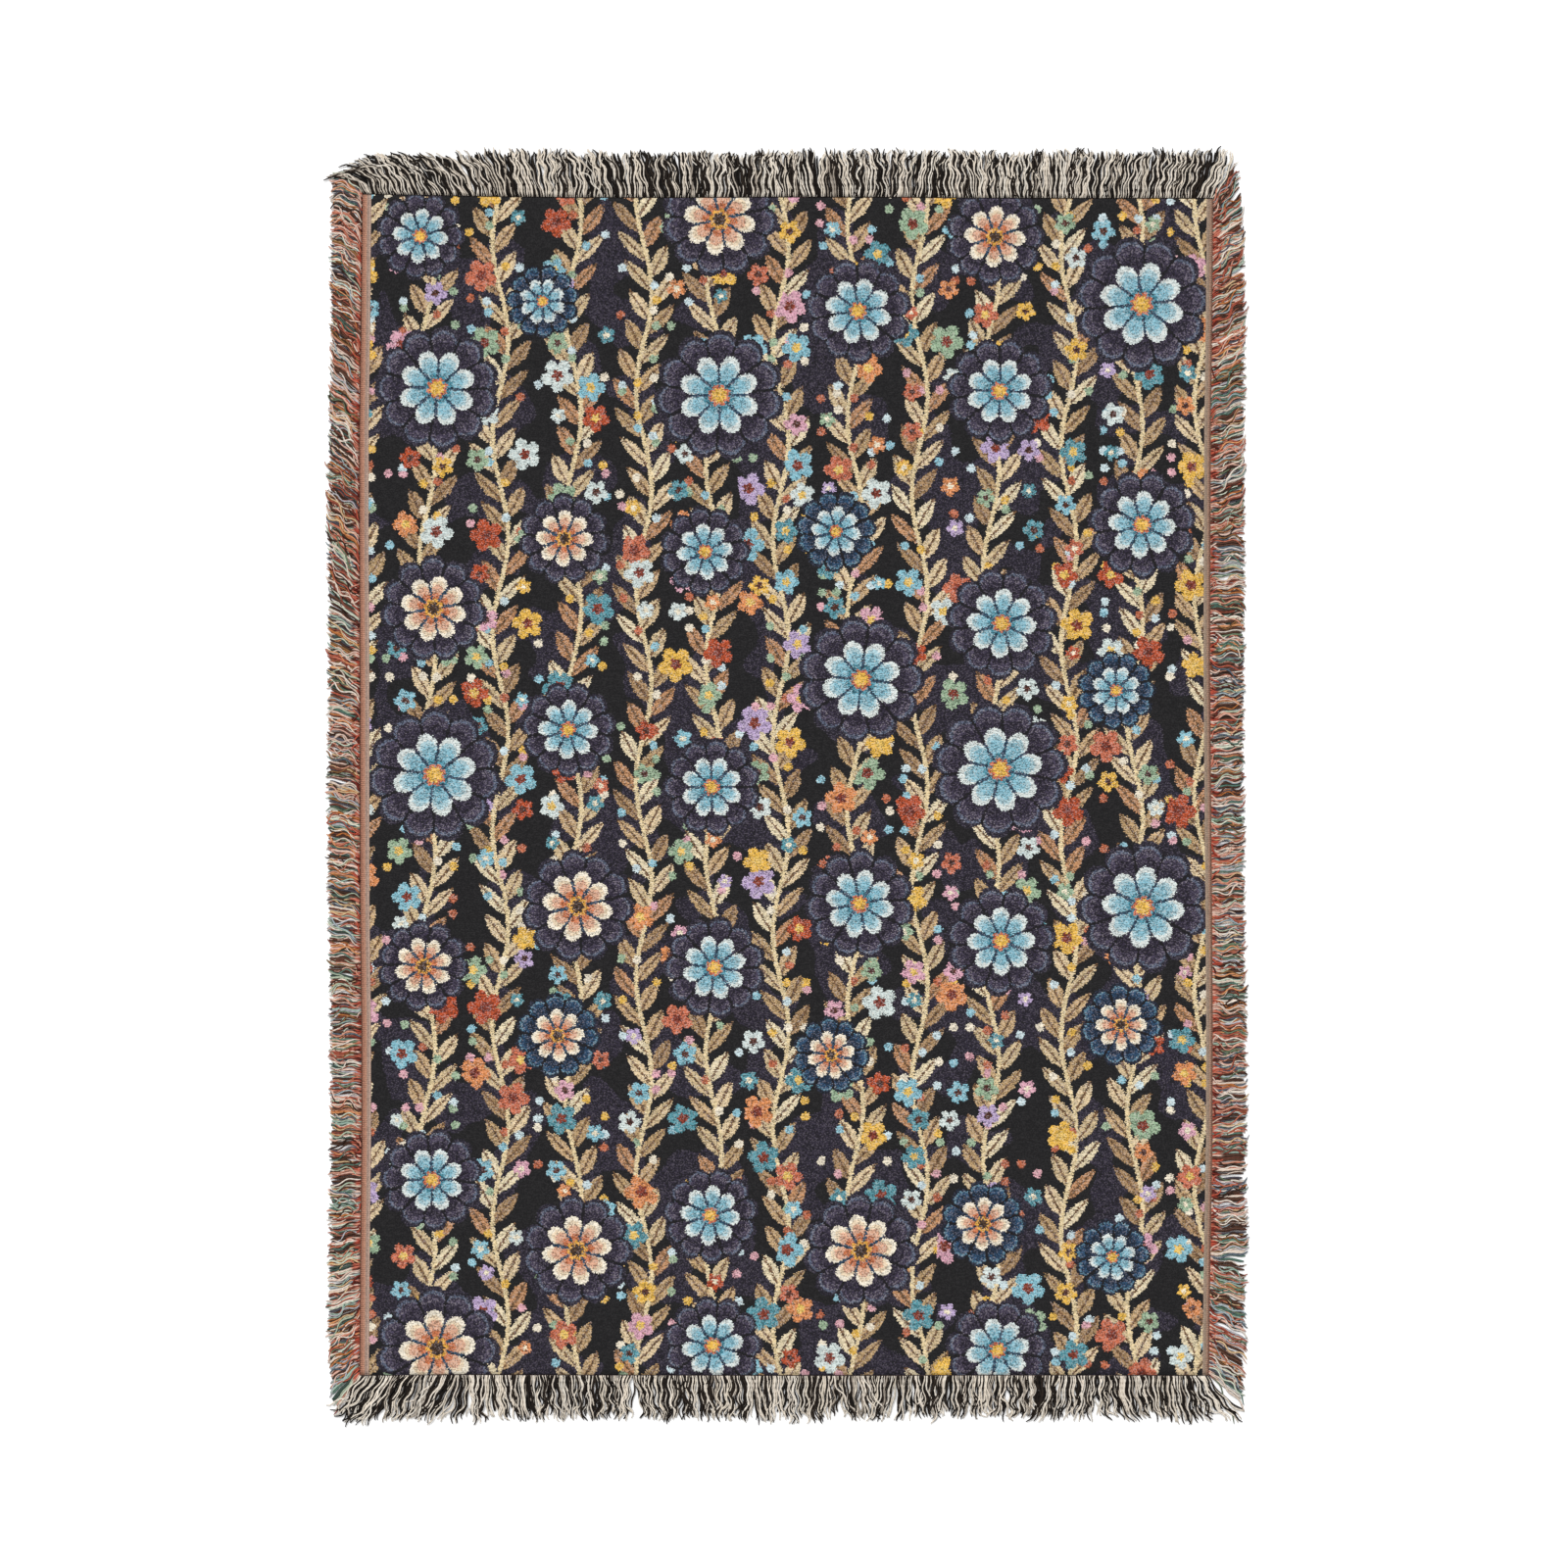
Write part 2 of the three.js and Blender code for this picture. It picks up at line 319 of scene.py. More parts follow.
@dataclass(frozen=True)
class TapestryFace:
    """Jacquard-woven cotton tapestry: floats of dyed weft yarn over a black and a cream warp.

    It gives the eye a salt-and-pepper speckle in every colour, motifs with edges that step from float to
    float, and a matt, pebbled surface, with painted shade that darkens each float towards its edges. The
    design is a garden of blossoms, leaves and berries.
    """

    float_mm: Pair = (1.2, 1.0)
    ragged_mm: Pair = (1.9, 1.7)
    streak_floats: float = 4.0
    relief_mm: float = 0.35
    relief_strength: float = 0.6
    ground: Ramp = Ramp(((0.0, "#222122"), (0.52, "#2f2a37")))
    ground_drift_mm: float = 70.0
    warp_black: str = "#1a191b"
    warp_cream: str = "#efe6d6"
    warp_mauve: str = "#7d7488"
    cotton: Cotton = Cotton()

    # What follows from a chance or a brightness between 0 and 1: how much it adds, and to what
    own_light: Pair = (0.6, 0.72)
    streak_light: Pair = (0.5, 0.8)
    dome_height: Pair = (-2.4, 1.0)
    # dome_light sets painted shade: how much darker each float gets towards its edges
    dome_light: Pair = (0.24, 0.8)
    dark_share: Pair = (-0.3, 0.42)
    dark_mix: Pair = (-0.55, 0.75)
    light_from: float = 0.76
    light_mix: Pair = (0.45, 0.1)
    light_room: Pair = (14.0, -1.85)

    # Rosettes stand in a half-drop repeat, each as far off its place as it has room for, with a blossom on it
    rosette_pitch_mm: Pair = (144.3, 200.0)
    rosette_size: Pair = (0.5, 0.55)
    rosette: RingedFlower = RingedFlower(
        petals=11,
        radius_mm=67.0,
        notch=0.16,
        common=Ramp(((0.0, "#322c3c"), (0.74, "#474053"), (0.87, "#5c6478"), (0.92, "#2f2b38"))),
        rare=Ramp(((0.0, "#25364c"), (0.74, "#2f4d6b"), (0.87, "#5b8095"), (0.92, "#232a3a"))),
        rare_share=0.24,
        seam="#1f1d21",
        seam_mm=1.4,
    )
    blossom: RingedFlower = RingedFlower(
        petals=8,
        radius_mm=41.0,
        notch=0.34,
        common=Ramp(
            ((0.0, "#e6b650"), (0.2, "#c96f52"), (0.28, "#4d8ea0"))
            + ((0.4, "#86b8c8"), (0.72, "#a9cad3"), (0.84, "#d6dfdd"))
        ),
        rare=Ramp(
            ((0.0, "#4f3a2c"), (0.2, "#e0a648"), (0.3, "#c9764f"))
            + ((0.5, "#dba98d"), (0.74, "#e9d3b4"), (0.86, "#f1e7d3"))
        ),
        rare_share=0.22,
        seam="#2f4a60",
        seam_mm=1.5,
        heart=0.34,
    )

    # Leafy garlands run up the cloth between and behind the rosettes, each out of step with its neighbours
    garland_pitch_mm: float = 72.15
    garland_sway_mm: float = 8.0
    garland_wander_mm: float = 9.0
    garland_turn: float = 2.4
    leaf_mm: Pair = (40.0, 13.5)
    leaf_spacing_mm: float = 30.0
    leaf_lean_degrees: float = 36.0
    leaf_colours: Ramp = even_ramp(
        "#cdb58d", "#b99a70", "#e3d3b0", "#c6a67c", "#a98862", "#dcc49d", "#bd8b63"
    )
    leaf_rib: str = "#78593d"
    leaf_rib_mm: float = 2.2
    stalk: str = "#e2cc9f"
    stalk_mm: float = 4.4

    # Small blossoms and berries fill the gaps
    posy: Flower = Flower(petals=5, radius_mm=13.0, notch=0.42)
    posy_size: Pair = (0.85, 0.55)
    posy_heart: float = 0.36
    posy_hearts: Ramp = even_ramp("#efe3c8", "#5b3529", "#e8c063", "#8a3d2c")
    posy_scatter: Scatter = Scatter(
        pitch_mm=40.0,
        unevenness=0.7,
        share=0.62,
        colours=("#c96f52", "#e6b650", "#86bccb", "#d9a3b4", "#98b293")
        + ("#b9512f", "#cfdbd8", "#5a97a3", "#b9a3c9", "#dd8f5a"),
    )
    berry_radius_mm: float = 4.4
    berry_scatter: Scatter = Scatter(
        pitch_mm=17.0,
        unevenness=0.8,
        share=0.3,
        colours=("#c8dbe0", "#e3b552", "#bd6a4b", "#8fc0cf", "#eadfc9", "#9ab294", "#d9a3ad"),
    )

    def material(self) -> bpy.types.Material:
        """Returns the woven face's material."""
        material, node = new_material("jacquard_woven_cotton")
        place = node("TexCoord").outputs["Object"]
        plan = node("VectorMath", place, (1 / MM, 1 / MM, 0), operation="MULTIPLY")
        counted = self.brick_bond(node, plan)
        thread = node("VectorMath", counted, operation="FLOOR")
        chance = node("TexWhiteNoise", thread, noise_dimensions="2D")
        spot = self.ragged_spot(node, plan, counted, chance.outputs["Color"])

        ground_pattern = {"Scale": 1 / self.ground_drift_mm, "Detail": 1.0}
        drift = node("TexNoise", spot, named=ground_pattern, noise_dimensions="2D")
        colour = node("ValToRGB", drift, ramp=self.ground)
        for motif in (self.garlands, self.berries, self.posies, self.rosettes):
            colour = motif(node, spot, colour)
        woven = self.mixed_yarns(node, colour, thread)

        part = node("VectorMath", counted, operation="FRACTION")
        from_middle = node("VectorMath", part, HALVES, operation="DISTANCE").outputs["Value"]
        fall = node("Math", from_middle, 2.0, operation="POWER")
        dome = node("Math", fall, *self.dome_height, operation="MULTIPLY_ADD")
        # Painted shade: each float is darker towards its edges, where it dips between its neighbours
        shade = node("Math", dome, *self.dome_light, operation="MULTIPLY_ADD")
        height = node("Math", dome, chance.outputs["Value"], operation="ADD")
        shaded = node("VectorMath", woven, operation="SCALE", named={"Scale": shade})
        relief = {"Height": height, "Strength": self.relief_strength, "Distance": self.relief_mm * MM}
        look = {"Base Color": shaded, "Normal": node("Bump", named=relief), **self.cotton.inputs()}
        node("OutputMaterial", node("BsdfPrincipled", named=look))
        return material

    def brick_bond(self, node: AddNode, plan: Feed) -> Feed:
        """Counts the cloth in floats, with every other row set over by half a float.

        Args:
            node: Adds a node.
            plan: The place on the cloth, in millimetres.

        Returns:
            The place in floats.
        """
        even = node("VectorMath", plan, (*self.float_mm, 1), operation="DIVIDE")
        split = node("SeparateXYZ", even)
        row = node("Math", split.outputs["Y"], operation="FLOOR")
        odd = node("Math", row, 2.0, operation="FLOORED_MODULO")
        column = node("Math", odd, 0.5, split.outputs["X"], operation="MULTIPLY_ADD")
        return node("CombineXYZ", column, split.outputs["Y"], 0.0)

    def ragged_spot(self, node: AddNode, plan: Feed, counted: Feed, chance: Feed) -> Feed:
        """Finds the place in the design that each float takes its colour from.

        Args:
            node: Adds a node.
            plan: The place on the cloth, in millimetres.
            counted: The same place in floats.
            chance: Three random numbers for the float.

        Returns:
            A place in millimetres near the float's middle, which makes the motifs' edges step and fray.
        """
        part = node("VectorMath", counted, operation="FRACTION")
        back = [-size for size in self.float_mm]
        corner = node("VectorMath", part, (*back, 0), plan, operation="MULTIPLY_ADD")
        to_middle = [size / 2 - ragged / 2 for size, ragged in zip(self.float_mm, self.ragged_mm)]
        middle = node("VectorMath", corner, (*to_middle, 0), operation="ADD")
        return node("VectorMath", chance, (*self.ragged_mm, 0), middle, operation="MULTIPLY_ADD")

    def garlands(self, node: AddNode, spot: Feed, under: Feed) -> Feed:
        """Lays swaying stalks with alternate leaves over the colours below.

        Args:
            node: Adds a node.
            spot: The place in the design, in millimetres.
            under: The colours below.

        Returns:
            The colours with the garlands in them.
        """
        length, width = self.leaf_mm
        lean = math.radians(self.leaf_lean_degrees)
        split = node("SeparateXYZ", spot)
        x, y = split.outputs["X"], split.outputs["Y"]
        pitches = node("Math", x, 1 / self.garland_pitch_mm, operation="MULTIPLY")
        column = node("Math", pitches, operation="ROUND")
        start = node("Math", column, self.garland_turn, operation="MULTIPLY")
        turn = node("Math", y, TURN / self.rosette_pitch_mm[1], start, operation="MULTIPLY_ADD")
        swing = node("Math", turn, operation="SINE")
        sway = node("Math", swing, self.garland_sway_mm, x, operation="MULTIPLY_ADD")
        aside = node("TexWhiteNoise", column, noise_dimensions="1D").outputs["Value"]
        moved = node("Math", aside, self.garland_wander_mm, sway, operation="MULTIPLY_ADD")
        off = node("Math", column, -self.garland_pitch_mm, moved, operation="MULTIPLY_ADD")
        away = node("Math", off, operation="ABSOLUTE")
        side = node("Math", off, 0.0, operation="GREATER_THAN")
        stagger = node("Math", side, 0.5, start, operation="MULTIPLY_ADD")
        climb = node("Math", y, 1 / self.leaf_spacing_mm, stagger, operation="MULTIPLY_ADD")
        leaf_number = node("Math", climb, operation="FLOOR")
        part = node("Math", climb, operation="FRACT")

        # A place may be on the leaf that starts just below it, or on the one below that
        reaches = []
        ribs = []
        for lower in (0.0, 1.0):
            above = node("Math", part, lower, operation="ADD")
            height = node("Math", above, self.leaf_spacing_mm, operation="MULTIPLY")
            run = node("Math", height, math.cos(lean) / length, operation="MULTIPLY")
            along = node("Math", away, math.sin(lean) / length, run, operation="MULTIPLY_ADD")
            rise = node("Math", height, -math.sin(lean), operation="MULTIPLY")
            slant = node("Math", away, math.cos(lean), rise, operation="MULTIPLY_ADD")
            across = node("Math", slant, operation="ABSOLUTE")
            rest = node("Math", 1.0, along, operation="SUBTRACT")
            swell = node("Math", along, rest, operation="MULTIPLY")
            half = node("Math", swell, 2 * width, operation="MULTIPLY")
            reaches.append(node("Math", half, across, operation="SUBTRACT"))
            ribs.append(node("Math", across, self.leaf_rib_mm / 2, operation="LESS_THAN"))
        is_lower = node("Math", reaches[1], reaches[0], operation="GREATER_THAN")
        reach = node("Math", *reaches, operation="MAXIMUM")
        in_leaf = node("Math", reach, 0.0, operation="GREATER_THAN")
        rib = node("Mix", is_lower, *ribs, data_type="FLOAT")
        own_number = node("Math", leaf_number, is_lower, operation="SUBTRACT")
        leaf = node("TexWhiteNoise", node("CombineXYZ", column, own_number, side), noise_dimensions="3D")
        tan = node("ValToRGB", leaf.outputs["Value"], ramp=self.leaf_colours)
        veined = node("Mix", rib, tan, linear(self.leaf_rib), data_type="RGBA")
        leafy = node("Mix", in_leaf, under, veined, data_type="RGBA")
        on_stalk = node("Math", away, self.stalk_mm / 2, operation="LESS_THAN")
        return node("Mix", on_stalk, leafy, linear(self.stalk), data_type="RGBA")

    def berries(self, node: AddNode, spot: Feed, under: Feed) -> Feed:
        """Scatters round berries over the colours below.

        Args:
            node: Adds a node.
            spot: The place in the design, in millimetres.
            under: The colours below.

        Returns:
            The colours with the berries in them.
        """
        cell, _, sown, skin = self.berry_scatter.sow(node, spot)
        radius = self.berry_radius_mm / self.berry_scatter.pitch_mm
        near = node("Math", cell.outputs["Distance"], radius, operation="LESS_THAN")
        shown = node("Math", near, sown, operation="MULTIPLY")
        return node("Mix", shown, under, skin, data_type="RGBA")

    def posies(self, node: AddNode, spot: Feed, under: Feed) -> Feed:
        """Scatters small blossoms over the colours below.

        Args:
            node: Adds a node.
            spot: The place in the design, in millimetres.
            under: The colours below.

        Returns:
            The colours with the blossoms in them.
        """
        cell, dice, sown, petal = self.posy_scatter.sow(node, spot)
        local = node("VectorMath", spot, cell.outputs["Position"], operation="SUBTRACT")
        size = node("Math", dice.outputs["Z"], *self.posy_size, operation="MULTIPLY_ADD")
        out, _, _ = self.posy.measure(node, local, dice.outputs["X"], size)
        heart = node("ValToRGB", dice.outputs["Z"], ramp=self.posy_hearts)
        near_heart = node("Math", out, self.posy_heart, operation="LESS_THAN")
        flower = node("Mix", near_heart, petal, heart, data_type="RGBA")
        inside = node("Math", out, 1.0, operation="LESS_THAN")
        shown = node("Math", inside, sown, operation="MULTIPLY")
        return node("Mix", shown, under, flower, data_type="RGBA")

    def rosettes(self, node: AddNode, spot: Feed, under: Feed) -> Feed:
        """Lays dark many-petalled rosettes, each with a pale blossom on it, over the colours below.

        Args:
            node: Adds a node.
            spot: The place in the design, in millimetres.
            under: The colours below.

        Returns:
            The colours with the rosettes in them.
        """
        pitch = self.rosette_pitch_mm
        counted = node("VectorMath", spot, (*pitch, 1), operation="DIVIDE")
        split = node("SeparateXYZ", counted)
        column = node("Math", split.outputs["X"], operation="FLOOR")
        dropped = node("Math", column, 2.0, operation="FLOORED_MODULO")
        row = node("Math", dropped, 0.5, split.outputs["Y"], operation="MULTIPLY_ADD")
        lattice = node("CombineXYZ", split.outputs["X"], row, 0.0)
        number = node("VectorMath", lattice, operation="FLOOR")
        part = node("VectorMath", lattice, operation="FRACTION")
        chance = node("TexWhiteNoise", number, noise_dimensions="2D")
        size = node("Math", chance.outputs["Value"], *self.rosette_size, operation="MULTIPLY_ADD")
        full_width = 2 * self.rosette.radius_mm
        room = [node("Math", size, -full_width, length, operation="MULTIPLY_ADD") for length in pitch]
        off_middle = node("VectorMath", chance.outputs["Color"], HALVES, operation="SUBTRACT")
        moved = node("VectorMath", off_middle, node("CombineXYZ", *room, 0.0), operation="MULTIPLY")
        to_middle = [-length / 2 for length in pitch]
        middle = node("VectorMath", part, (*pitch, 0), (*to_middle, 0), operation="MULTIPLY_ADD")
        local = node("VectorMath", middle, moved, operation="SUBTRACT")

        dice = node("SeparateXYZ", chance.outputs["Color"]).outputs
        under = self.rosette.paint(node, local, size, dice["Z"], dice["X"], under)
        return self.blossom.paint(node, local, size, dice["Y"], dice["Z"], under)

    def mixed_yarns(self, node: AddNode, colour: Feed, thread: Feed) -> Feed:
        """Breaks each colour up into floats of its own yarn, lighter and darker, with specks of both warps.

        Args:
            node: Adds a node.
            colour: The design's colour.
            thread: The float's column and row.

        Returns:
            The woven colour.
        """
        other = node("VectorMath", thread, HALVES, operation="ADD")
        chance = node("TexWhiteNoise", other, noise_dimensions="2D")
        dice = node("SeparateXYZ", chance.outputs["Color"])
        brightness = node("Math", node("RGBToBW", colour), operation="SQRT")
        own = node("Math", dice.outputs["X"], *self.own_light, operation="MULTIPLY_ADD")
        lengths = node("VectorMath", thread, (1 / self.streak_floats, 1, 0), operation="MULTIPLY")
        streak = node("TexWhiteNoise", node("VectorMath", lengths, operation="FLOOR"), noise_dimensions="2D")
        slub = node("Math", streak.outputs["Value"], *self.streak_light, operation="MULTIPLY_ADD")
        strength = node("Math", own, slub, operation="MULTIPLY")
        dyed = node("VectorMath", colour, operation="SCALE", named={"Scale": strength})

        dark_share = node("Math", brightness, *self.dark_share, operation="MULTIPLY_ADD")
        is_dark = node("Math", chance.outputs["Value"], dark_share, operation="LESS_THAN")
        dark_mix = node("Math", brightness, *self.dark_mix, operation="MULTIPLY_ADD")
        dark = node("Math", is_dark, dark_mix, operation="MULTIPLY")
        darkened = node("Mix", dark, dyed, linear(self.warp_black), data_type="RGBA")

        is_light = node("Math", chance.outputs["Value"], self.light_from, operation="GREATER_THAN")
        light_mix = node("Math", dice.outputs["Z"], *self.light_mix, operation="MULTIPLY_ADD")
        room = node("Math", brightness, *self.light_room, operation="MULTIPLY_ADD", use_clamp=True)
        specked = node("Math", is_light, light_mix, operation="MULTIPLY")
        light = node("Math", specked, room, operation="MULTIPLY")
        warp = node("Mix", brightness, linear(self.warp_mauve), linear(self.warp_cream), data_type="RGBA")
        return node("Mix", light, darkened, warp, data_type="RGBA")


@dataclass(frozen=True)
class SelvageWeave:
    """Plain-woven cotton selvage: warp ribs down the edge, tied by the weft at every pick.

    It gives the eye a flat pinkish-brown band of fine columns, scalloped at its outer edge, with a row of
    faint ticks. Both ramps run from the outer edge to the face; their darker last stop is painted shade at
    the foot of the step up to the face.
    """

    # Each ramp's darker last stop is painted shade at the foot of the step up to the face
    left: Ramp = Ramp(
        ((0.0, "#aa735d"), (0.2, "#b9846d"), (0.5, "#b28670"))
        + ((0.56, "#a98f82"), (0.92, "#b09586"), (1.0, "#76645b")),
        stepped=False,
    )
    right: Ramp = Ramp(
        ((0.0, "#9c7866"), (0.3, "#a68470"), (0.5, "#94806f"))
        + ((0.8, "#a48e7b"), (0.92, "#9c8676"), (1.0, "#6d5e55")),
        stepped=False,
    )
    shadow: str = "#5d3e33"
    shadow_power: float = 3.0
    pick_mm: float = 1.9
    columns: int = 7
    streak: float = 0.36
    scallop: float = 1.0
    scallop_reach: float = 0.5
    tick: float = 0.6
    tick_at: float = 0.42
    tick_reach: float = 0.11
    fleck_mm: Pair = (0.7, 1.2)
    fleck: float = 0.5
    relief_mm: float = 0.4
    relief_strength: float = 0.5
    cotton: Cotton = Cotton()
    band: str = "band"

    def material(self) -> bpy.types.Material:
        """Returns the selvage's material."""
        material, node = new_material("plain_woven_cotton_selvage")
        across = node("Attribute", attribute_name=self.band).outputs["Fac"]
        in_metres = node("TexCoord").outputs["Object"]
        plan = node("VectorMath", in_metres, (1 / MM, 1 / MM, 0), operation="MULTIPLY")
        place = node("SeparateXYZ", plan)
        left = node("ValToRGB", across, ramp=self.left)
        right = node("ValToRGB", across, ramp=self.right)
        on_right = node("Math", place.outputs["X"], 0.0, operation="GREATER_THAN")
        tone = node("Mix", on_right, left, right, data_type="RGBA")

        # Picks: painted shade in the grooves between the scallops at the outer edge, and ticks along the
        # middle, both in the shadow colour
        picks = node("Math", place.outputs["Y"], TURN / self.pick_mm, operation="MULTIPLY")
        rib = node("Math", node("Math", picks, operation="SINE"), 0.5, 0.5, operation="MULTIPLY_ADD")
        between = node("Math", rib, self.shadow_power, operation="POWER")
        edging = {"From Max": self.scallop_reach, "To Min": self.scallop, "To Max": 0.0}
        outer = node("MapRange", across, named=edging)
        off_middle = node("Math", across, self.tick_at, operation="SUBTRACT")
        beside = node("Math", off_middle, operation="ABSOLUTE")
        ticking = {"From Max": self.tick_reach, "To Min": self.tick, "To Max": 0.0}
        middle = node("MapRange", beside, named=ticking)
        shadowed = node("Math", node("Math", outer, middle, operation="ADD"), between, operation="MULTIPLY")
        marked = node("Mix", shadowed, tone, linear(self.shadow), data_type="RGBA")

        # Yarns: each column and each fleck a little lighter or darker
        column = node("Math", node("Math", across, self.columns, operation="MULTIPLY"), operation="FLOOR")
        streak = node("TexWhiteNoise", column, noise_dimensions="1D").outputs["Value"]
        counted = node("VectorMath", plan, (*self.fleck_mm, 1), operation="DIVIDE")
        fleck = node("TexWhiteNoise", node("VectorMath", counted, operation="FLOOR"), noise_dimensions="2D")
        dim = 1 - (self.streak + self.fleck) / 2
        streaked = node("Math", streak, self.streak, dim, operation="MULTIPLY_ADD")
        light = node("Math", fleck.outputs["Value"], self.fleck, streaked, operation="MULTIPLY_ADD")
        colour = node("VectorMath", marked, operation="SCALE", named={"Scale": light})
        relief = {"Height": rib, "Strength": self.relief_strength, "Distance": -self.relief_mm * MM}
        look = {"Base Color": colour, "Normal": node("Bump", named=relief), **self.cotton.inputs()}
        node("OutputMaterial", node("BsdfPrincipled", named=look))
        return material


@dataclass(frozen=True)
class FringeYarn:
    """Loose two-ply cotton yarn, dyed before it was woven and cut at the tip.

    It gives the eye matt strands that each keep one colour, with painted shade in a slanting groove between
    the plies and painted shade on the flanks. The flanks' places run from 0, on top of a strand, to 0.5,
    below it.
    """

    name: str
    ply_turn_mm: float = 5.0
    # How much painted shade darkens the ply groove and the flanks, and where on the way round the flank shade
    # begins and is full
    groove_shade: float = 0.2
    flank_shade: float = 0.32
    flank_shade_places: Pair = (0.1, 0.25)
    relief_mm: float = 0.9
    relief_strength: float = 0.8
    cotton: Cotton = Cotton(roughness=0.88)
    colour: str = "yarn_colour"
    winding: str = "winding"

    def material(self) -> bpy.types.Material:
        """Returns the yarn's material."""
        material, node = new_material(self.name)
        dyed = node("Attribute", attribute_name=self.colour).outputs["Color"]
        wound = node("SeparateXYZ", node("UVMap", uv_map=self.winding))
        around = node("Math", wound.outputs["Y"], 2.0, operation="MULTIPLY")
        slant = node("Math", wound.outputs["X"], 1 / self.ply_turn_mm, around, operation="MULTIPLY_ADD")
        ply = node("Math", slant, 0.5, operation="PINGPONG")
        # Painted shade in the groove between the plies
        groove_shaded = node("Math", ply, 2 * self.groove_shade, 1 - self.groove_shade, operation="MULTIPLY_ADD")
        # Painted shade on the flanks, darkest below the strand
        down = node("Math", wound.outputs["Y"], 0.5, operation="PINGPONG")
        first, last = self.flank_shade_places
        flank_shading = {"From Min": first, "From Max": last, "To Min": 1.0, "To Max": 1 - self.flank_shade}
        unshaded_by_flank = node("MapRange", down, named=flank_shading)
        shade = node("Math", groove_shaded, unshaded_by_flank, operation="MULTIPLY")
        colour = node("VectorMath", dyed, operation="SCALE", named={"Scale": shade})
        relief = {"Height": ply, "Strength": self.relief_strength, "Distance": self.relief_mm * MM}
        look = {"Base Color": colour, "Normal": node("Bump", named=relief), **self.cotton.inputs()}
        node("OutputMaterial", node("BsdfPrincipled", named=look))
        return material


@dataclass(frozen=True)
class StudioFloor:
    """Opal acrylic table, sanded matt, that glows faintly as if lit from below: a white ground that shadows
    hardly dim.
    """

    colour: str = "#ffffff"
    roughness: float = 0.9
    ior: float = 1.49
    glow: float = 0.18

    def material(self) -> bpy.types.Material:
        """Returns the table's material."""
        material, node = new_material("sanded_opal_acrylic")
        white = linear(self.colour)
        look = {"Base Color": white, "Roughness": self.roughness, "IOR": self.ior}
        lit = {"Emission Color": white, "Emission Strength": self.glow}
        node("OutputMaterial", node("BsdfPrincipled", named={**look, **lit}))
        return material


# The cloth


@dataclass
class ClothPlan:
    """The cloth's outline in plan, read from the grid of its solid."""

    node: str = "woven_panel"
    rows: int = 11
    grid: Array = field(init=False)
    shares: Array = field(init=False)

    def __post_init__(self) -> None:
        """Sorts the underside's points into rows from foot to head and columns from left to right."""
        touching = 0.1 * MM
        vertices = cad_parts[self.node].data.vertices
        below = {(round(v.co.x, 6), round(v.co.y, 6)) for v in vertices if v.co.z < touching}
        upward = np.array(sorted(below, key=lambda point: point[1]))
        rows = upward.reshape(self.rows, -1, 2)
        self.grid = np.stack([row[np.argsort(row[:, 0])] for row in rows])
        first = self.grid[0, :, 0]
        self.shares = (first - first[0]) / (first[-1] - first[0])

    def points(self, across: Array, up: Array) -> Array:
        """Finds points of the cloth.

        Args:
            across: Shares of the width, from the left.
            up: Shares of the length, from the foot.

        Returns:
            The points in plan, one row for each "up" and one column for each "across", in metres.
        """
        at_rows = np.array(
            [[np.interp(across, self.shares, row[:, axis]) for axis in (0, 1)] for row in self.grid]
        )
        row_shares = np.linspace(0, 1, self.rows)
        found = np.empty((len(up), len(across), 2))
        for column in range(len(across)):
            for axis in (0, 1):
                found[:, column, axis] = np.interp(up, row_shares, at_rows[:, axis, column])
        return found


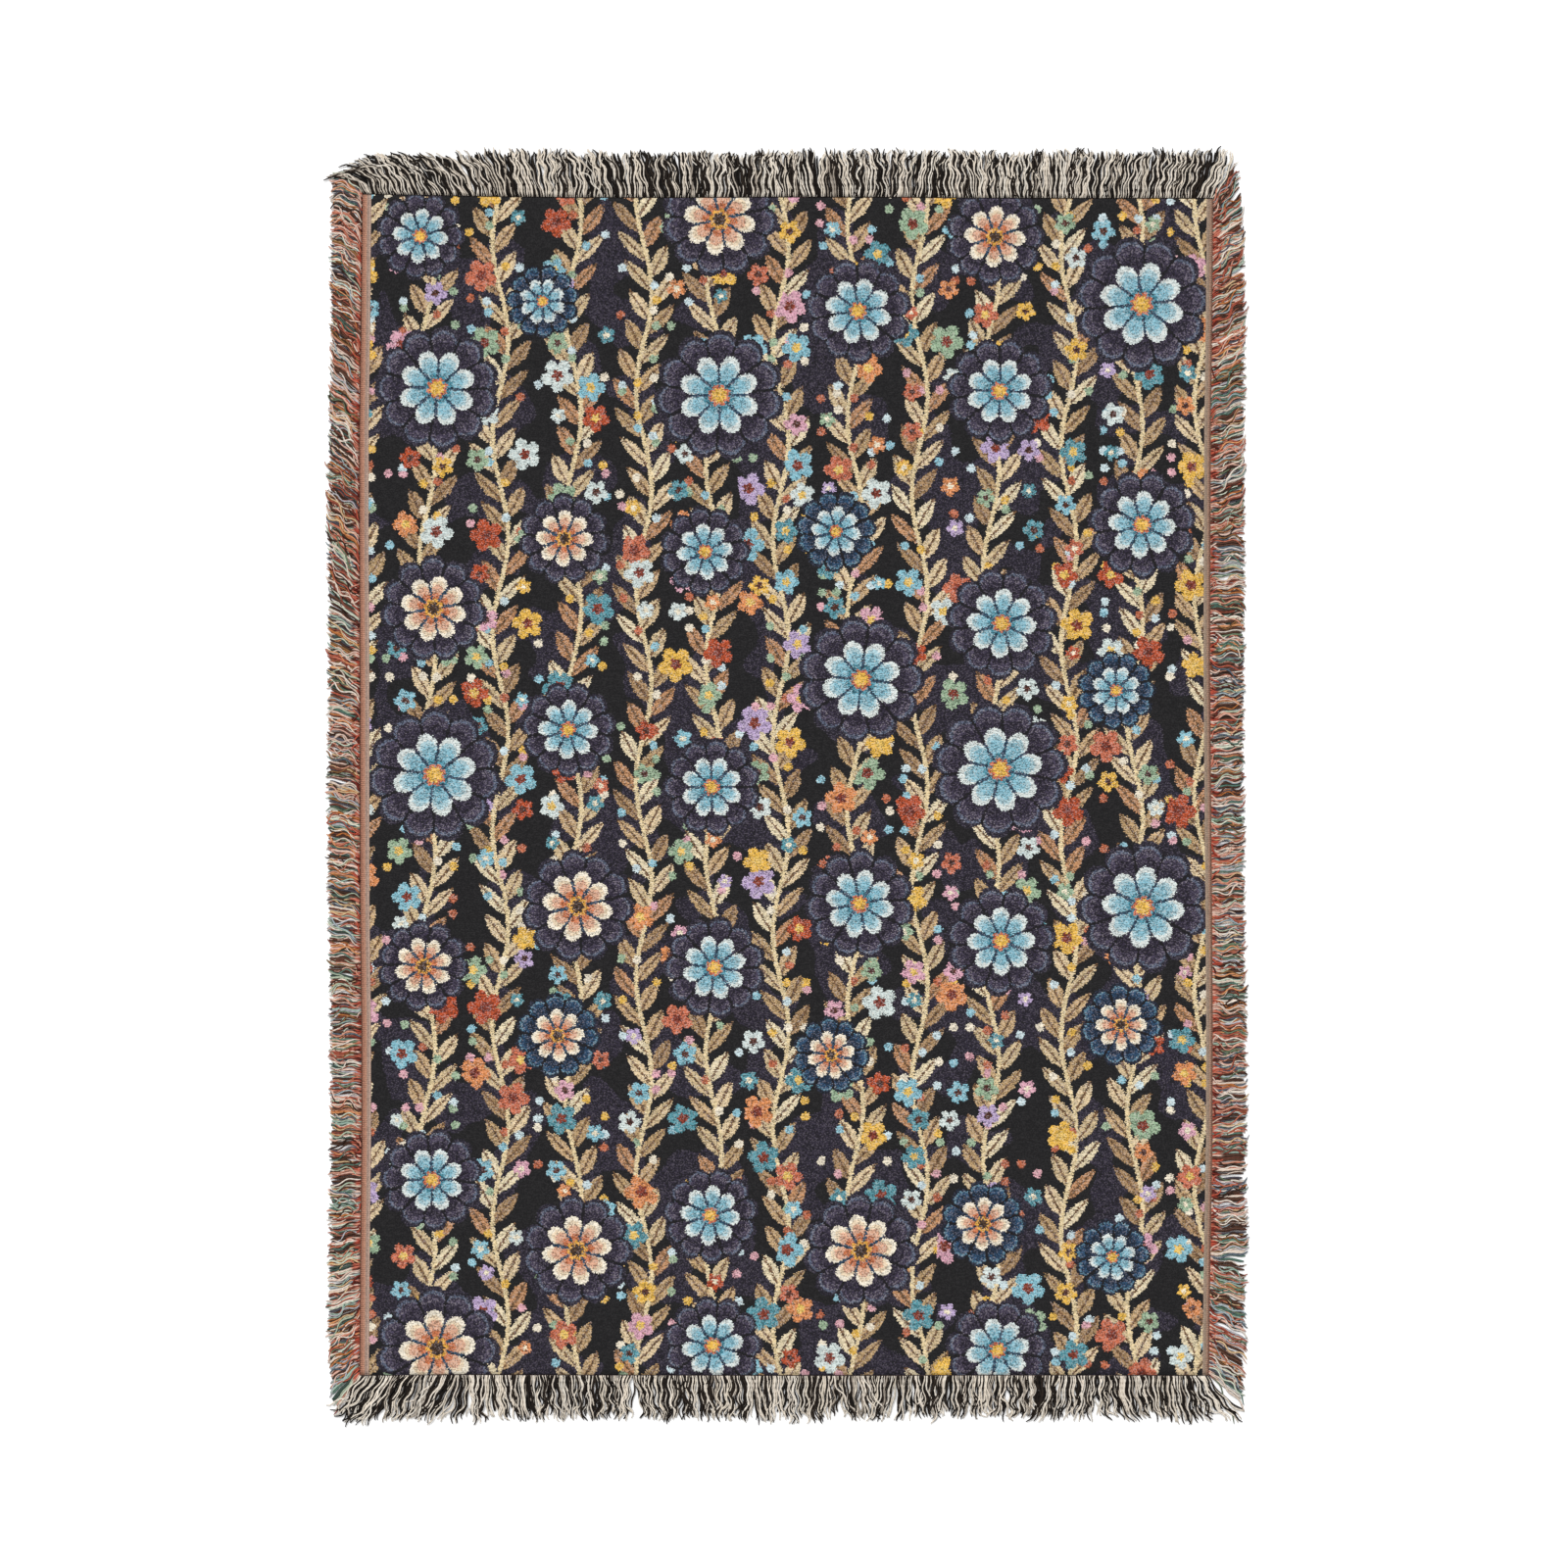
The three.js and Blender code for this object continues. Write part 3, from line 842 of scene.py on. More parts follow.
@dataclass
class WovenPanel:
    """The jacquard cloth with a plain selvage down each long side, as one closed sheet."""

    plan: ClothPlan
    width_mm: float = 866.0
    length_mm: float = 1200.0
    face_mm: float = 2.4
    selvage_mm: float = 1.9
    selvage_left_mm: float = 9.0
    selvage_right_mm: float = 6.0
    step_up_mm: float = 1.5
    rib_mm: float = 2.25
    rib_depth_mm: float = 0.45
    mesh_step_mm: float = 5.6
    rib_step_mm: float = 0.5625
    slot: str = "tapestry_weave"

    # Three soft ripples keep the face from lying dead flat: their depth, their lengths and how they bend
    softness_mm: float = 0.22
    ripple_across_mm: Pair = (31.0, 57.0)
    ripple_up_mm: Pair = (38.0, 83.0)
    ripple_up_bend: float = 1.3
    ripple_slant_mm: float = 71.0

    def build(self, face: TapestryFace, selvage: SelvageWeave) -> bpy.types.Object:
        """Makes the sheet and dresses it.

        Args:
            face: The finish of the patterned face.
            selvage: The finish of the bands down the sides.

        Returns:
            The panel.
        """
        across = self.columns()
        up = np.linspace(0, 1, round(self.length_mm / self.mesh_step_mm) + 1)
        flat = self.plan.points(across / self.width_mm, up)
        height = self.heights(across, flat)
        top = np.dstack([flat, height * MM]).reshape(-1, 3)
        bottom = np.dstack([flat, np.zeros_like(height)]).reshape(-1, 3)
        points = np.vstack([top, bottom])
        sides, walls = self.closed_faces(*height.shape)
        faces = np.vstack([sides, walls])
        plan_map = (points[:, :2] - points[:, :2].min(0)) / np.ptp(points[:, :2], axis=0)
        panel = mesh_piece("woven_panel_cloth", points, [faces], {BAKE_MAP: plan_map[faces.ravel()]})

        share = np.tile(self.selvage_share(across), 2 * len(up))
        point_values(panel, selvage.band, np.clip(share, 0, 1))
        in_band = share[faces].mean(axis=1) < 1
        panel.data.materials.append(face.material())
        panel.data.materials.append(selvage.material())
        panel.data.polygons.foreach_set("material_index", in_band.astype(np.int32))
        panel.data.polygons.foreach_set("use_smooth", np.arange(len(faces)) < len(sides))
        return settle(panel, self.plan.node)

    def columns(self) -> Array:
        """Returns the mesh's lines down the cloth, in millimetres from the left, closest in the selvages."""
        inner_left = self.selvage_left_mm
        inner_right = self.width_mm - self.selvage_right_mm
        left = np.arange(0, inner_left, self.rib_step_mm)
        right = np.arange(self.width_mm, inner_right, -self.rib_step_mm)[::-1]
        face_left = inner_left + self.step_up_mm
        face_right = inner_right - self.step_up_mm
        steps = round((face_right - face_left) / self.mesh_step_mm)
        face = np.linspace(face_left, face_right, steps)
        return np.concatenate([left, [inner_left], face, [inner_right], right])

    def heights(self, across: Array, flat: Array) -> Array:
        """Works out the height of the upper side.

        Args:
            across: The mesh's lines, in millimetres from the left edge.
            flat: The points in plan, in metres.

        Returns:
            Heights in millimetres, a row for each line across and a column for each line down.
        """
        from_edge = np.minimum(across, self.width_mm - across)
        in_selvage = self.selvage_share(across) <= 1
        rib = self.selvage_mm - self.rib_depth_mm * (0.5 + 0.5 * np.cos(TURN * from_edge / self.rib_mm))
        profile = np.where(in_selvage, rib, self.face_mm)
        x, y = flat[..., 0] / MM, flat[..., 1] / MM
        waves = np.sin(x / self.ripple_across_mm[0] + np.sin(y / self.ripple_across_mm[1]))
        waves += np.sin(y / self.ripple_up_mm[0] + self.ripple_up_bend * np.sin(x / self.ripple_up_mm[1]))
        waves += np.sin((x - y) / self.ripple_slant_mm)
        return profile[None, :] + np.where(in_selvage, 0, self.softness_mm)[None, :] * waves / 3

    def selvage_share(self, across: Array) -> Array:
        """Returns how far across its selvage a line is: 0 at the outer edge, 1 at the face, more beyond."""
        return np.minimum(across / self.selvage_left_mm, (self.width_mm - across) / self.selvage_right_mm)

    @staticmethod
    def closed_faces(rows: int, columns: int) -> tuple[Array, Array]:
        """Joins an upper and a lower grid of points into a closed sheet.

        Args:
            rows: Lines across in each grid.
            columns: Lines down in each grid.

        Returns:
            Quads of point numbers, facing out: those of the upper and lower side, and those of the walls.
        """
        top = np.arange(rows * columns).reshape(rows, columns)
        low = top + rows * columns
        upper = np.stack([top[:-1, :-1], top[:-1, 1:], top[1:, 1:], top[1:, :-1]], -1).reshape(-1, 4)
        lower = np.stack([low[:-1, :-1], low[1:, :-1], low[1:, 1:], low[:-1, 1:]], -1).reshape(-1, 4)
        rim = np.concatenate([top[0, :-1], top[:-1, -1], top[-1, :0:-1], top[:0:-1, 0]])
        after = np.roll(rim, -1)
        walls = np.stack([after, rim, rim + rows * columns, after + rows * columns], -1)
        return np.vstack([upper, lower]), walls


# The fringe


class Edge(Enum):
    """The four edges of the cloth, each by the node of its fringe."""

    HEAD = "fringe_head"
    FOOT = "fringe_foot"
    LEFT = "fringe_left"
    RIGHT = "fringe_right"

    @property
    def out(self) -> Array:
        """The way out of the cloth, in plan."""
        ways = {Edge.HEAD: (0, 1), Edge.FOOT: (0, -1), Edge.LEFT: (-1, 0), Edge.RIGHT: (1, 0)}
        return np.array(ways[self], float)

    @property
    def along(self) -> Array:
        """The way along the edge in plan, from left to right or from foot to head."""
        return np.array((1, 0) if self in (Edge.HEAD, Edge.FOOT) else (0, 1), float)

    def line(self, plan: ClothPlan, shares: Array) -> Array:
        """Finds points on the edge.

        Args:
            plan: The cloth's outline.
            shares: Shares of the way along the edge.

        Returns:
            The points in plan, in metres.
        """
        if self in (Edge.HEAD, Edge.FOOT):
            return plan.points(shares, np.array([1.0 if self is Edge.HEAD else 0.0]))[0]
        return plan.points(np.array([1.0 if self is Edge.RIGHT else 0.0]), shares)[:, 0]


@dataclass(frozen=True)
class Lay:
    """How the fringe lies at one place of its edge: its lean at the root and at the tip, and its length.

    A lean is in degrees off the straight way out, towards the right or the head.
    """

    share: float
    root_lean: float
    tip_lean: float
    length_mm: float


class Tone(Enum):
    """The light and the deep yarns, which take turns along a fringe, and the shaded ones: dark yarns that
    some strands of the lowest layer take, as painted shade below the pile.
    """

    LIGHT = 0
    DEEP = 1
    SHADED = 2


@dataclass(frozen=True)
class YarnFamily:
    """Yarns that lie in a lock together: their tone, hex colours, and how common they are in that tone."""

    tone: Tone
    colours: tuple[str, ...]
    share: float


@dataclass(frozen=True)
class Strands:
    """The strands of a fringe in order: how far along the edge each is, and its lock.

    Some are curls, which are short and lie on the roots, and some lie under the others, as the lowest layer.
    """

    share: Array
    lock: Array
    curl: Array
    under: Array


@dataclass
class YarnFringe:
    """Loose yarn ends along one edge, rooted in a row of lock stitches.

    The strands lie in a low pile, in combed locks that lean, wave and gather together. A pair of leans is for
    a strand's root and its tip. A pair that is called a spread is the least and the most of a share that
    chance picks.
    """

    edge: Edge
    plan: ClothPlan
    lay: tuple[Lay, ...]
    families: tuple[YarnFamily, ...]
    strands: int
    slot: str
    seed: int
    steps: int = 16
    sides: int = 4
    dice: np.random.Generator = field(init=False)

    # Locks: how wide, and how far their strands stray from the lay, in degrees
    lock_mm: float = 9.0
    lock_spread: Pair = (0.6, 1.4)
    lock_lean: Pair = (5.0, 9.0)
    own_lean: Pair = (5.0, 11.0)
    stray_share: float = 0.1
    stray_lean: float = 26.0
    stray_part: Pair = (0.4, 1.0)
    most_off: Pair = (26.0, 40.0)
    most_lean: Pair = (66.0, 106.0)
    most_turn: float = 112.0
    gather: float = 0.15
    root_jitter: float = 0.3

    # Lengths: how far they differ, and how much shorter or longer one may be cut to keep the tips in line
    length_spread: float = 0.07
    cut: Pair = (0.9, 1.12)
    least_reach: float = 0.2

    # Waves: how far a strand swings in degrees, how much less at its root, how often, and how far out of step
    wave_degrees: float = 30.0
    lock_swing_spread: Pair = (0.5, 1.5)
    own_swing_spread: Pair = (0.8, 1.2)
    root_calm: float = 0.0
    wavelength_mm: float = 20.0
    lock_pitch_spread: Pair = (0.9, 1.12)
    own_pitch_spread: Pair = (0.95, 1.05)
    lock_turn: float = 1.4
    own_turn: float = 0.4

    # Curls: how many, how long beside the other strands, and how far they lean
    curl_share: float = 0.0
    curl_length: float = 0.3
    curl_spread: Pair = (0.7, 1.5)
    curl_lean: float = 45.0

    # Yarns: how many neighbours share a light tone, then a deep one, and how true they are to one colour
    run_strands: Pair = (1.7, 1.6)
    run_spread: float = 0.6
    loyalty: float = 0.75
    dye_spread: Pair = (0.85, 1.1)

    # The lowest layer: how much of the pile it is, what share of it takes the shaded yarns as painted shade,
    # how wide it is, and how far it strays and waves
    under_level: float = 0.36
    under_share: float = 0.65
    under_width: float = 1.3
    under_calm: float = 0.2
    under_wave: float = 0.4
    under_length: float = 0.95

    # Colours that only the roots have: in which share of the locks, and of their strands
    root_yarns: tuple[str, ...] = ()
    root_share: float = 0.8
    root_chance: float = 0.75
    root_mm: float = 7.5
    root_spread: Pair = (0.4, 1.6)
    root_blend_mm: float = 3.0

    # The pile: how thick its strands are, how they thin out at the tip, and how high they lie along the way
    radius_mm: Pair = (0.64, 0.94)
    radius_spread: Pair = (0.97, 1.03)
    taper: float = 0.5
    taper_from: float = 0.86
    pile_mm: float = 3.0
    lift_mm: float = 0.0
    clear_of_floor: float = 1.08
    arch_steps: tuple[float, ...] = (0, 0.12, 0.35, 0.75, 1)
    arch: tuple[float, ...] = (0.4, 0.8, 1, 0.85, 0.3)

    # The lock stitches
    root_offset_mm: float = 1.0
    stitch: str = "#4a3a38"
    stitch_pitch_mm: float = 2.4
    stitch_steps: int = 4
    stitch_half_mm: Pair = (1.0, 1.15)
    stitch_waist: float = 0.22

    # The map that finishes can be baked to: strands in columns below, the stitches in a strip on top
    bake_columns: int = 8
    bake_margin: Pair = (0.05, 0.1)
    strand_bake: float = 0.96
    stitch_bake: float = 0.97

    def __post_init__(self) -> None:
        """Starts the fringe's own source of chances."""
        self.dice = np.random.default_rng(self.seed)

    def build(self, finish: FringeYarn) -> bpy.types.Object:
        """Makes the fringe and dresses it.

        Args:
            finish: The yarn's finish.

        Returns:
            The fringe.
        """
        centre, radius, colour = self.strand_lines()
        points, faces, maps = self.tubes(self.rings(centre, radius), centre, finish.winding)
        stitch_points, stitch_faces, stitch_maps = self.stitch_row(finish.winding)
        faces += [block + len(points) for block in stitch_faces]
        points = np.vstack([points, stitch_points])
        maps = {name: np.vstack([maps[name], stitch_maps[name]]) for name in maps}
        piece = mesh_piece(f"{self.edge.value}_yarn", points * MM, faces, maps)
        strand_colours = np.repeat(colour.reshape(-1, 4), self.sides, axis=0)
        stitch_colours = np.tile(linear(self.stitch), (len(stitch_points), 1))
        point_values(piece, finish.colour, np.vstack([strand_colours, stitch_colours]))
        piece.data.materials.append(finish.material())
        return settle(piece, self.edge.value)

    def strand_lines(self) -> tuple[Array, Array, Array]:
        """Lays every strand down.

        Returns:
            The strands' middle lines, by strand and step, in millimetres, and their radius and colour at
            each step.
        """
        count = self.strands
        number = np.arange(count)
        t = np.linspace(0, 1, self.steps + 1)
        share = (number + 0.5 + self.dice.uniform(-self.root_jitter, self.root_jitter, count)) / count
        root = self.edge.line(self.plan, share) / MM
        edge_mm = np.linalg.norm(root[-1] - root[0])
        lock, lock_middle = self.locks(share, edge_mm)
        curl = self.dice.random(count) < self.curl_share
        level = np.where(curl, 1.0, number * GOLDEN_SHARE % 1)
        strands = Strands(share, lock, curl, level < self.under_level)

        length, heading = self.headings(strands, t)
        stride = (length / self.steps)[:, None]
        out = self.root_offset_mm + stride * self.running_sum(np.cos(heading))
        along = stride * self.running_sum(np.sin(heading))
        to_middle = (lock_middle[lock] - share) * edge_mm
        along += (self.gather * to_middle)[:, None] * t**2
        plan = root[:, None, :] + out[..., None] * self.edge.out + along[..., None] * self.edge.along

        thick = self.dice.uniform(*self.radius_mm, count) * np.where(strands.under, self.under_width, 1)
        at_tip = np.clip((t - self.taper_from) / (1 - self.taper_from), 0, 1)
        uneven = self.dice.uniform(*self.radius_spread, (count, len(t)))
        radius = thick[:, None] * (1 - self.taper * at_tip**2)[None, :] * uneven
        arch = np.interp(t, self.arch_steps, self.arch)
        pile = (self.lift_mm + self.pile_mm * level)[:, None] * arch[None, :]
        z = self.clear_of_floor * thick[:, None] + pile
        return np.dstack([plan, z]), radius, self.colours(strands, length, t)

    @staticmethod
    def running_sum(rows: Array) -> Array:
        """Adds up each row step by step from 0, by the trapezium rule."""
        between = (rows[:, 1:] + rows[:, :-1]) / 2
        return np.hstack([np.zeros((len(rows), 1)), np.cumsum(between, axis=1)])

    def locks(self, share: Array, edge_mm: float) -> tuple[Array, Array]:
        """Parts the strands into locks.

        Args:
            share: Where each strand is along the edge.
            edge_mm: How long the edge is.

        Returns:
            Each strand's lock, and where each lock's middle is along the edge.
        """
        most = int(2 * edge_mm / self.lock_mm)
        ends = np.cumsum(self.lock_mm * self.dice.uniform(*self.lock_spread, most)) / edge_mm
        lock = np.searchsorted(ends, share)
        starts = np.concatenate([[0.0], ends[:-1]])
        return lock, ((starts + ends) / 2)[: lock.max() + 1]

    def headings(self, strands: Strands, t: Array) -> tuple[Array, Array]:
        """Works out how long each strand is and which way it heads.

        Args:
            strands: The strands.
            t: The steps along a strand, from 0 to 1.

        Returns:
            Lengths in millimetres, and at each step the heading in radians off the straight way out.
        """
        dice, lock = self.dice, strands.lock
        count, locks = len(lock), lock.max() + 1
        table = np.array([(row.share, row.root_lean, row.tip_lean, row.length_mm) for row in self.lay])
        root_lean, tip_lean, length = (np.interp(strands.share, table[:, 0], row) for row in table.T[1:])
        length *= 1 + dice.normal(0, self.length_spread / 2, locks)[lock]
        length *= 1 + dice.uniform(-self.length_spread, self.length_spread, count)
        length *= np.where(strands.curl, self.curl_length * dice.uniform(*self.curl_spread, count), 1)
        length *= np.where(strands.under, self.under_length, 1)

        calm = np.where(strands.under, self.under_calm, 1)
        strayed = self.stray_lean * (dice.random(count) < self.stray_share) * dice.normal(0, 1, count)
        curled = self.curl_lean * strands.curl * dice.normal(0, 1, count)
        leans = []
        for end, lean in enumerate((root_lean, tip_lean)):
            off = dice.normal(0, self.lock_lean[end], locks)[lock] + dice.normal(0, self.own_lean[end], count)
            off = np.clip(off + self.stray_part[end] * strayed, -self.most_off[end], self.most_off[end])
            leans.append(np.clip(lean + calm * off + curled, -self.most_lean[end], self.most_lean[end]))
        ease = t * t * (3 - 2 * t)
        heading = leans[0][:, None] * (1 - ease) + leans[1][:, None] * ease

        swing = self.wave_degrees * dice.uniform(*self.lock_swing_spread, locks)[lock]
        swing *= dice.uniform(*self.own_swing_spread, count)
        swing *= np.where(strands.under, self.under_wave, 1)
        swings = swing[:, None] * (1 - self.root_calm * (1 - t))
        start = np.cumsum(dice.normal(0, self.lock_turn, locks))[lock] + dice.normal(0, self.own_turn, count)
        pitch = self.wavelength_mm * dice.uniform(*self.lock_pitch_spread, locks)[lock]
        pitch *= dice.uniform(*self.own_pitch_spread, count)
        phase = start[:, None] + TURN * length[:, None] * t / pitch[:, None]
        heading = np.radians(np.clip(heading + swings * np.sin(phase), -self.most_turn, self.most_turn))
        laid = np.radians(root_lean[:, None] * (1 - ease) + tip_lean[:, None] * ease)
        cut = np.cos(laid).mean(axis=1) / np.maximum(np.cos(heading).mean(axis=1), self.least_reach)
        return length * np.where(strands.curl, 1, np.clip(cut, *self.cut)), heading

    def colours(self, strands: Strands, length: Array, t: Array) -> Array:
        """Chooses the strands' yarns.

        Args:
            strands: The strands.
            length: Each strand's length, in millimetres.
            t: The steps along a strand, from 0 to 1.

        Returns:
            A linear colour for each step of each strand.
        """
        dice, lock, count = self.dice, strands.lock, len(length)
        drawn = dice.normal(self.run_strands, self.run_spread, (count, 2))
        run_lengths = np.maximum(1, np.rint(drawn)).astype(int).ravel()
        run = np.repeat(np.arange(2 * count), run_lengths)[:count]
        in_turn = np.array([Tone.LIGHT.value, Tone.DEEP.value])[run % 2]
        # Painted shade: a share of the lowest layer takes the shaded yarns, dark colours that stand for the
        # shade below the pile
        shaded = strands.under & (dice.random(count) < self.under_share)
        tones = np.where(shaded, Tone.SHADED.value, in_turn)
        dyed = np.ones((count, 4))
        for tone in Tone:
            families = [family for family in self.families if family.tone is tone]
            shares = np.array([family.share for family in families])
            shares /= shares.sum()
            of_run = dice.choice(len(families), run.max() + 1, p=shares)[run]
            of_own = dice.choice(len(families), count, p=shares)
            chosen = np.where(dice.random(count) < self.loyalty, of_run, of_own)
            for strand in np.flatnonzero(tones == tone.value):
                dyed[strand] = linear(str(dice.choice(families[chosen[strand]].colours)))
        dyed[:, :3] *= dice.uniform(*self.dye_spread, count)[:, None]
        colour = np.repeat(dyed[:, None, :], len(t), axis=1)
        if self.root_yarns:
            roots = np.array([linear(yarn) for yarn in self.root_yarns])
            root = roots[dice.integers(len(roots), size=count)]
            in_locks = (dice.random(lock.max() + 1) < self.root_share)[lock]
            rooted = in_locks & (dice.random(count) < self.root_chance)
            reach = rooted * self.root_mm * dice.uniform(*self.root_spread, count) + strands.curl * length
            at_root = np.clip((reach[:, None] - length[:, None] * t) / self.root_blend_mm, 0, 1)[..., None]
            colour = colour * (1 - at_root) + root[:, None, :] * at_root
        return colour

    def rings(self, centre: Array, radius: Array) -> Array:
        """Sweeps a round section along the strands.

        Args:
            centre: The strands' middle lines, in millimetres.
            radius: Their radius at each step.

        Returns:
            Points in millimetres, by strand, step and place around the section, from the top.
        """
        way = np.gradient(centre, axis=1)
        way /= np.linalg.norm(way, axis=-1, keepdims=True)
        level = np.stack([-way[..., 1], way[..., 0], np.zeros_like(way[..., 0])], -1)
        level /= np.linalg.norm(level, axis=-1, keepdims=True)
        upright = np.cross(way, level)
        around = (TURN * np.arange(self.sides) / self.sides + TURN / 4)[:, None]
        offset = np.cos(around) * level[:, :, None] + np.sin(around) * upright[:, :, None]
        return centre[:, :, None] + radius[..., None, None] * offset

    def tubes(
        self, rings: Array, centre: Array, winding: str
    ) -> tuple[Array, list[Array], dict[str, Array]]:
        """Closes the rings of each strand into a tube.

        Args:
            rings: Points by strand, step and place around.
            centre: The strands' middle lines.
            winding: The name of the UV map that says how the yarn is wound.

        Returns:
            The points, the faces and the UV maps: how the yarn is wound, and where each strand goes on the
                map for baking.
        """
        count, steps, sides, _ = rings.shape
        number = np.arange(count * steps * sides).reshape(count, steps, sides)
        turned = np.roll(number, -1, axis=2)
        walls = np.stack([number[:, :-1], turned[:, :-1], turned[:, 1:], number[:, 1:]], -1).reshape(-1, 4)
        ends = [number[:, 0, ::-1], number[:, -1]]

        gone = np.cumsum(np.linalg.norm(np.diff(centre, axis=1, prepend=centre[:, :1]), axis=-1), axis=1)
        strand, step, place = np.meshgrid(*(np.arange(n) for n in (count, steps, sides + 1)), indexing="ij")
        wound = np.stack([gone[strand, step], place / sides], -1)
        column, row = strand % self.bake_columns, strand // self.bake_columns
        lines = math.ceil(count / self.bake_columns)
        before, beside = self.bake_margin
        baked_u = (column + before + (1 - 2 * before) * step / (steps - 1)) / self.bake_columns
        baked_v = self.strand_bake * (row + beside + (1 - 2 * beside) * place / sides) / lines
        maps = {}
        for name, places in ((winding, wound), (BAKE_MAP, np.stack([baked_u, baked_v], -1))):
            near, far = places[:, :-1], places[:, 1:]
            quads = np.stack([near[:, :, :-1], near[:, :, 1:], far[:, :, 1:], far[:, :, :-1]], -2)
            root_end = places[:, 0, :-1][:, ::-1]
            tip_end = places[:, -1, :-1]
            maps[name] = np.vstack([corners.reshape(-1, 2) for corners in (quads, root_end, tip_end)])
        return rings.reshape(-1, 3), [walls, *ends], maps

    def stitch_row(self, winding: str) -> tuple[Array, list[Array], dict[str, Array]]:
        """Makes the row of lock stitches that the strands are rooted in, as one knobbly cord along the edge.

        Args:
            winding: The name of the UV map that says how the yarn is wound.

        Returns:
            The points, the faces and the UV maps, as for the strands.
        """
        first, last = self.edge.line(self.plan, np.array([0.0, 1.0])) / MM
        edge_mm = np.linalg.norm(last - first)
        steps = int(self.stitch_steps * edge_mm / self.stitch_pitch_mm)
        share = np.linspace(0, 1, steps)
        line = self.edge.line(self.plan, share) / MM + self.root_offset_mm * self.edge.out
        swell = np.abs(np.cos(math.pi * share * edge_mm / self.stitch_pitch_mm))
        knob = (1 - self.stitch_waist + self.stitch_waist * swell)[:, None]
        around = TURN * np.arange(self.sides) / self.sides
        half_width, half_height = self.stitch_half_mm
        handed = np.sign(self.edge.along[0] * self.edge.out[1] - self.edge.along[1] * self.edge.out[0])
        away = knob * half_width * np.cos(around)
        plan = line[:, None, :] + away[..., None] * self.edge.out
        z = half_height + knob * half_height * np.sin(handed * around)
        rings = np.dstack([plan, z])[None]
        centre = np.dstack([line[None], np.full((1, steps), half_height)])
        points, faces, maps = self.tubes(rings, centre, winding)
        baked = maps[BAKE_MAP]
        baked_v = self.stitch_bake + (1 - self.stitch_bake) * baked[:, 1]
        maps[BAKE_MAP] = np.stack([baked[:, 0] * self.bake_columns, baked_v], -1)
        return points, faces, maps


# The studio


@dataclass
class Studio:
    """A plain white floor, one broad soft light with fill from all round, and a camera straight above."""

    floor_m: float = 14.0
    floor_drop_mm: float = 0.2
    camera_height_m: float = 4.444
    camera_lens_mm: float = 100.0
    sensor_mm: float = 36.0
    camera_aside_m: Pair = (-0.002, 0.002)
    sky: float = 0.46
    key: float = 2.15
    key_spread_degrees: float = 28.0
    key_tilt_degrees: Pair = (-32.0, -16.0)

    def build(self, finish: StudioFloor) -> None:
        """Sets up the floor, the lights and the camera.

        Args:
            finish: The floor's finish.
        """
        half = self.floor_m / 2
        corners = np.array([(-half, -half), (half, -half), (half, half), (-half, half)])
        points = np.column_stack([corners, np.full(4, -self.floor_drop_mm * MM)])
        floor = mesh_piece("studio_floor", points, [np.array([[0, 1, 2, 3]])], {})
        floor.data.materials.append(finish.material())
        self.light()
        self.place_camera()

    def light(self) -> None:
        """Adds the key light and the fill."""
        scene = bpy.context.scene
        sun = bpy.data.lights.new("soft_key", "SUN")
        sun.energy = self.key
        sun.angle = math.radians(self.key_spread_degrees)
        lamp = bpy.data.objects.new("soft_key", sun)
        lamp.rotation_euler = (*(math.radians(angle) for angle in self.key_tilt_degrees), 0)
        scene.collection.objects.link(lamp)
        world = bpy.data.worlds.new("studio_fill")
        world.use_nodes = True
        fill = world.node_tree.nodes["Background"].inputs
        fill["Color"].default_value = (1, 1, 1, 1)
        fill["Strength"].default_value = self.sky
        scene.world = world
        scene.view_settings.view_transform = "Standard"

    def place_camera(self) -> None:
        """Hangs the camera above the cloth, looking straight down with the head at the top of the picture."""
        lens = bpy.data.cameras.new("overhead_camera")
        lens.lens = self.camera_lens_mm
        lens.sensor_width = self.sensor_mm
        camera = bpy.data.objects.new("overhead_camera", lens)
        camera.location = (*self.camera_aside_m, self.camera_height_m)
        bpy.context.scene.collection.objects.link(camera)
        bpy.context.scene.camera = camera


# How each fringe lies, from left to right or from foot to head

HEAD_LAY = (
    Lay(0.0, -25, -105, 45),
    Lay(0.02, -22, -98, 52),
    Lay(0.04, -20, -76, 54),
    Lay(0.07, -20, -56, 51),
    Lay(0.11, -18, -46, 49),
    Lay(0.15, -14, -34, 48),
    Lay(0.2, -10, -14, 47),
    Lay(0.236, -6, 2, 47),
    Lay(0.246, -4, -16, 47),
    Lay(0.3, -8, -16, 46),
    Lay(0.4, -6, -4, 45),
    Lay(0.6, -2, 0, 45),
    Lay(0.8, 2, 5, 45.5),
    Lay(0.94, 10, 18, 48),
    Lay(0.98, 17, 15, 50),
    Lay(1.0, 28, 12, 52),
)
FOOT_LAY = (
    Lay(0.0, -38, -40, 57),
    Lay(0.03, -30, -32, 55),
    Lay(0.06, -24, -27, 51),
    Lay(0.11, -18, -22, 46.5),
    Lay(0.125, -4, 2, 44.5),
    Lay(0.2, 2, 6, 43),
    Lay(0.35, 4, 8, 43.5),
    Lay(0.5, 0, -2, 43),
    Lay(0.7, 2, 4, 40),
    Lay(0.85, -4, -4, 42),
    Lay(0.93, 4, 8, 42),
    Lay(0.965, 6, 10, 44),
    Lay(0.98, 14, 18, 48),
    Lay(0.99, 22, 36, 52),
    Lay(1.0, 28, 50, 54),
)
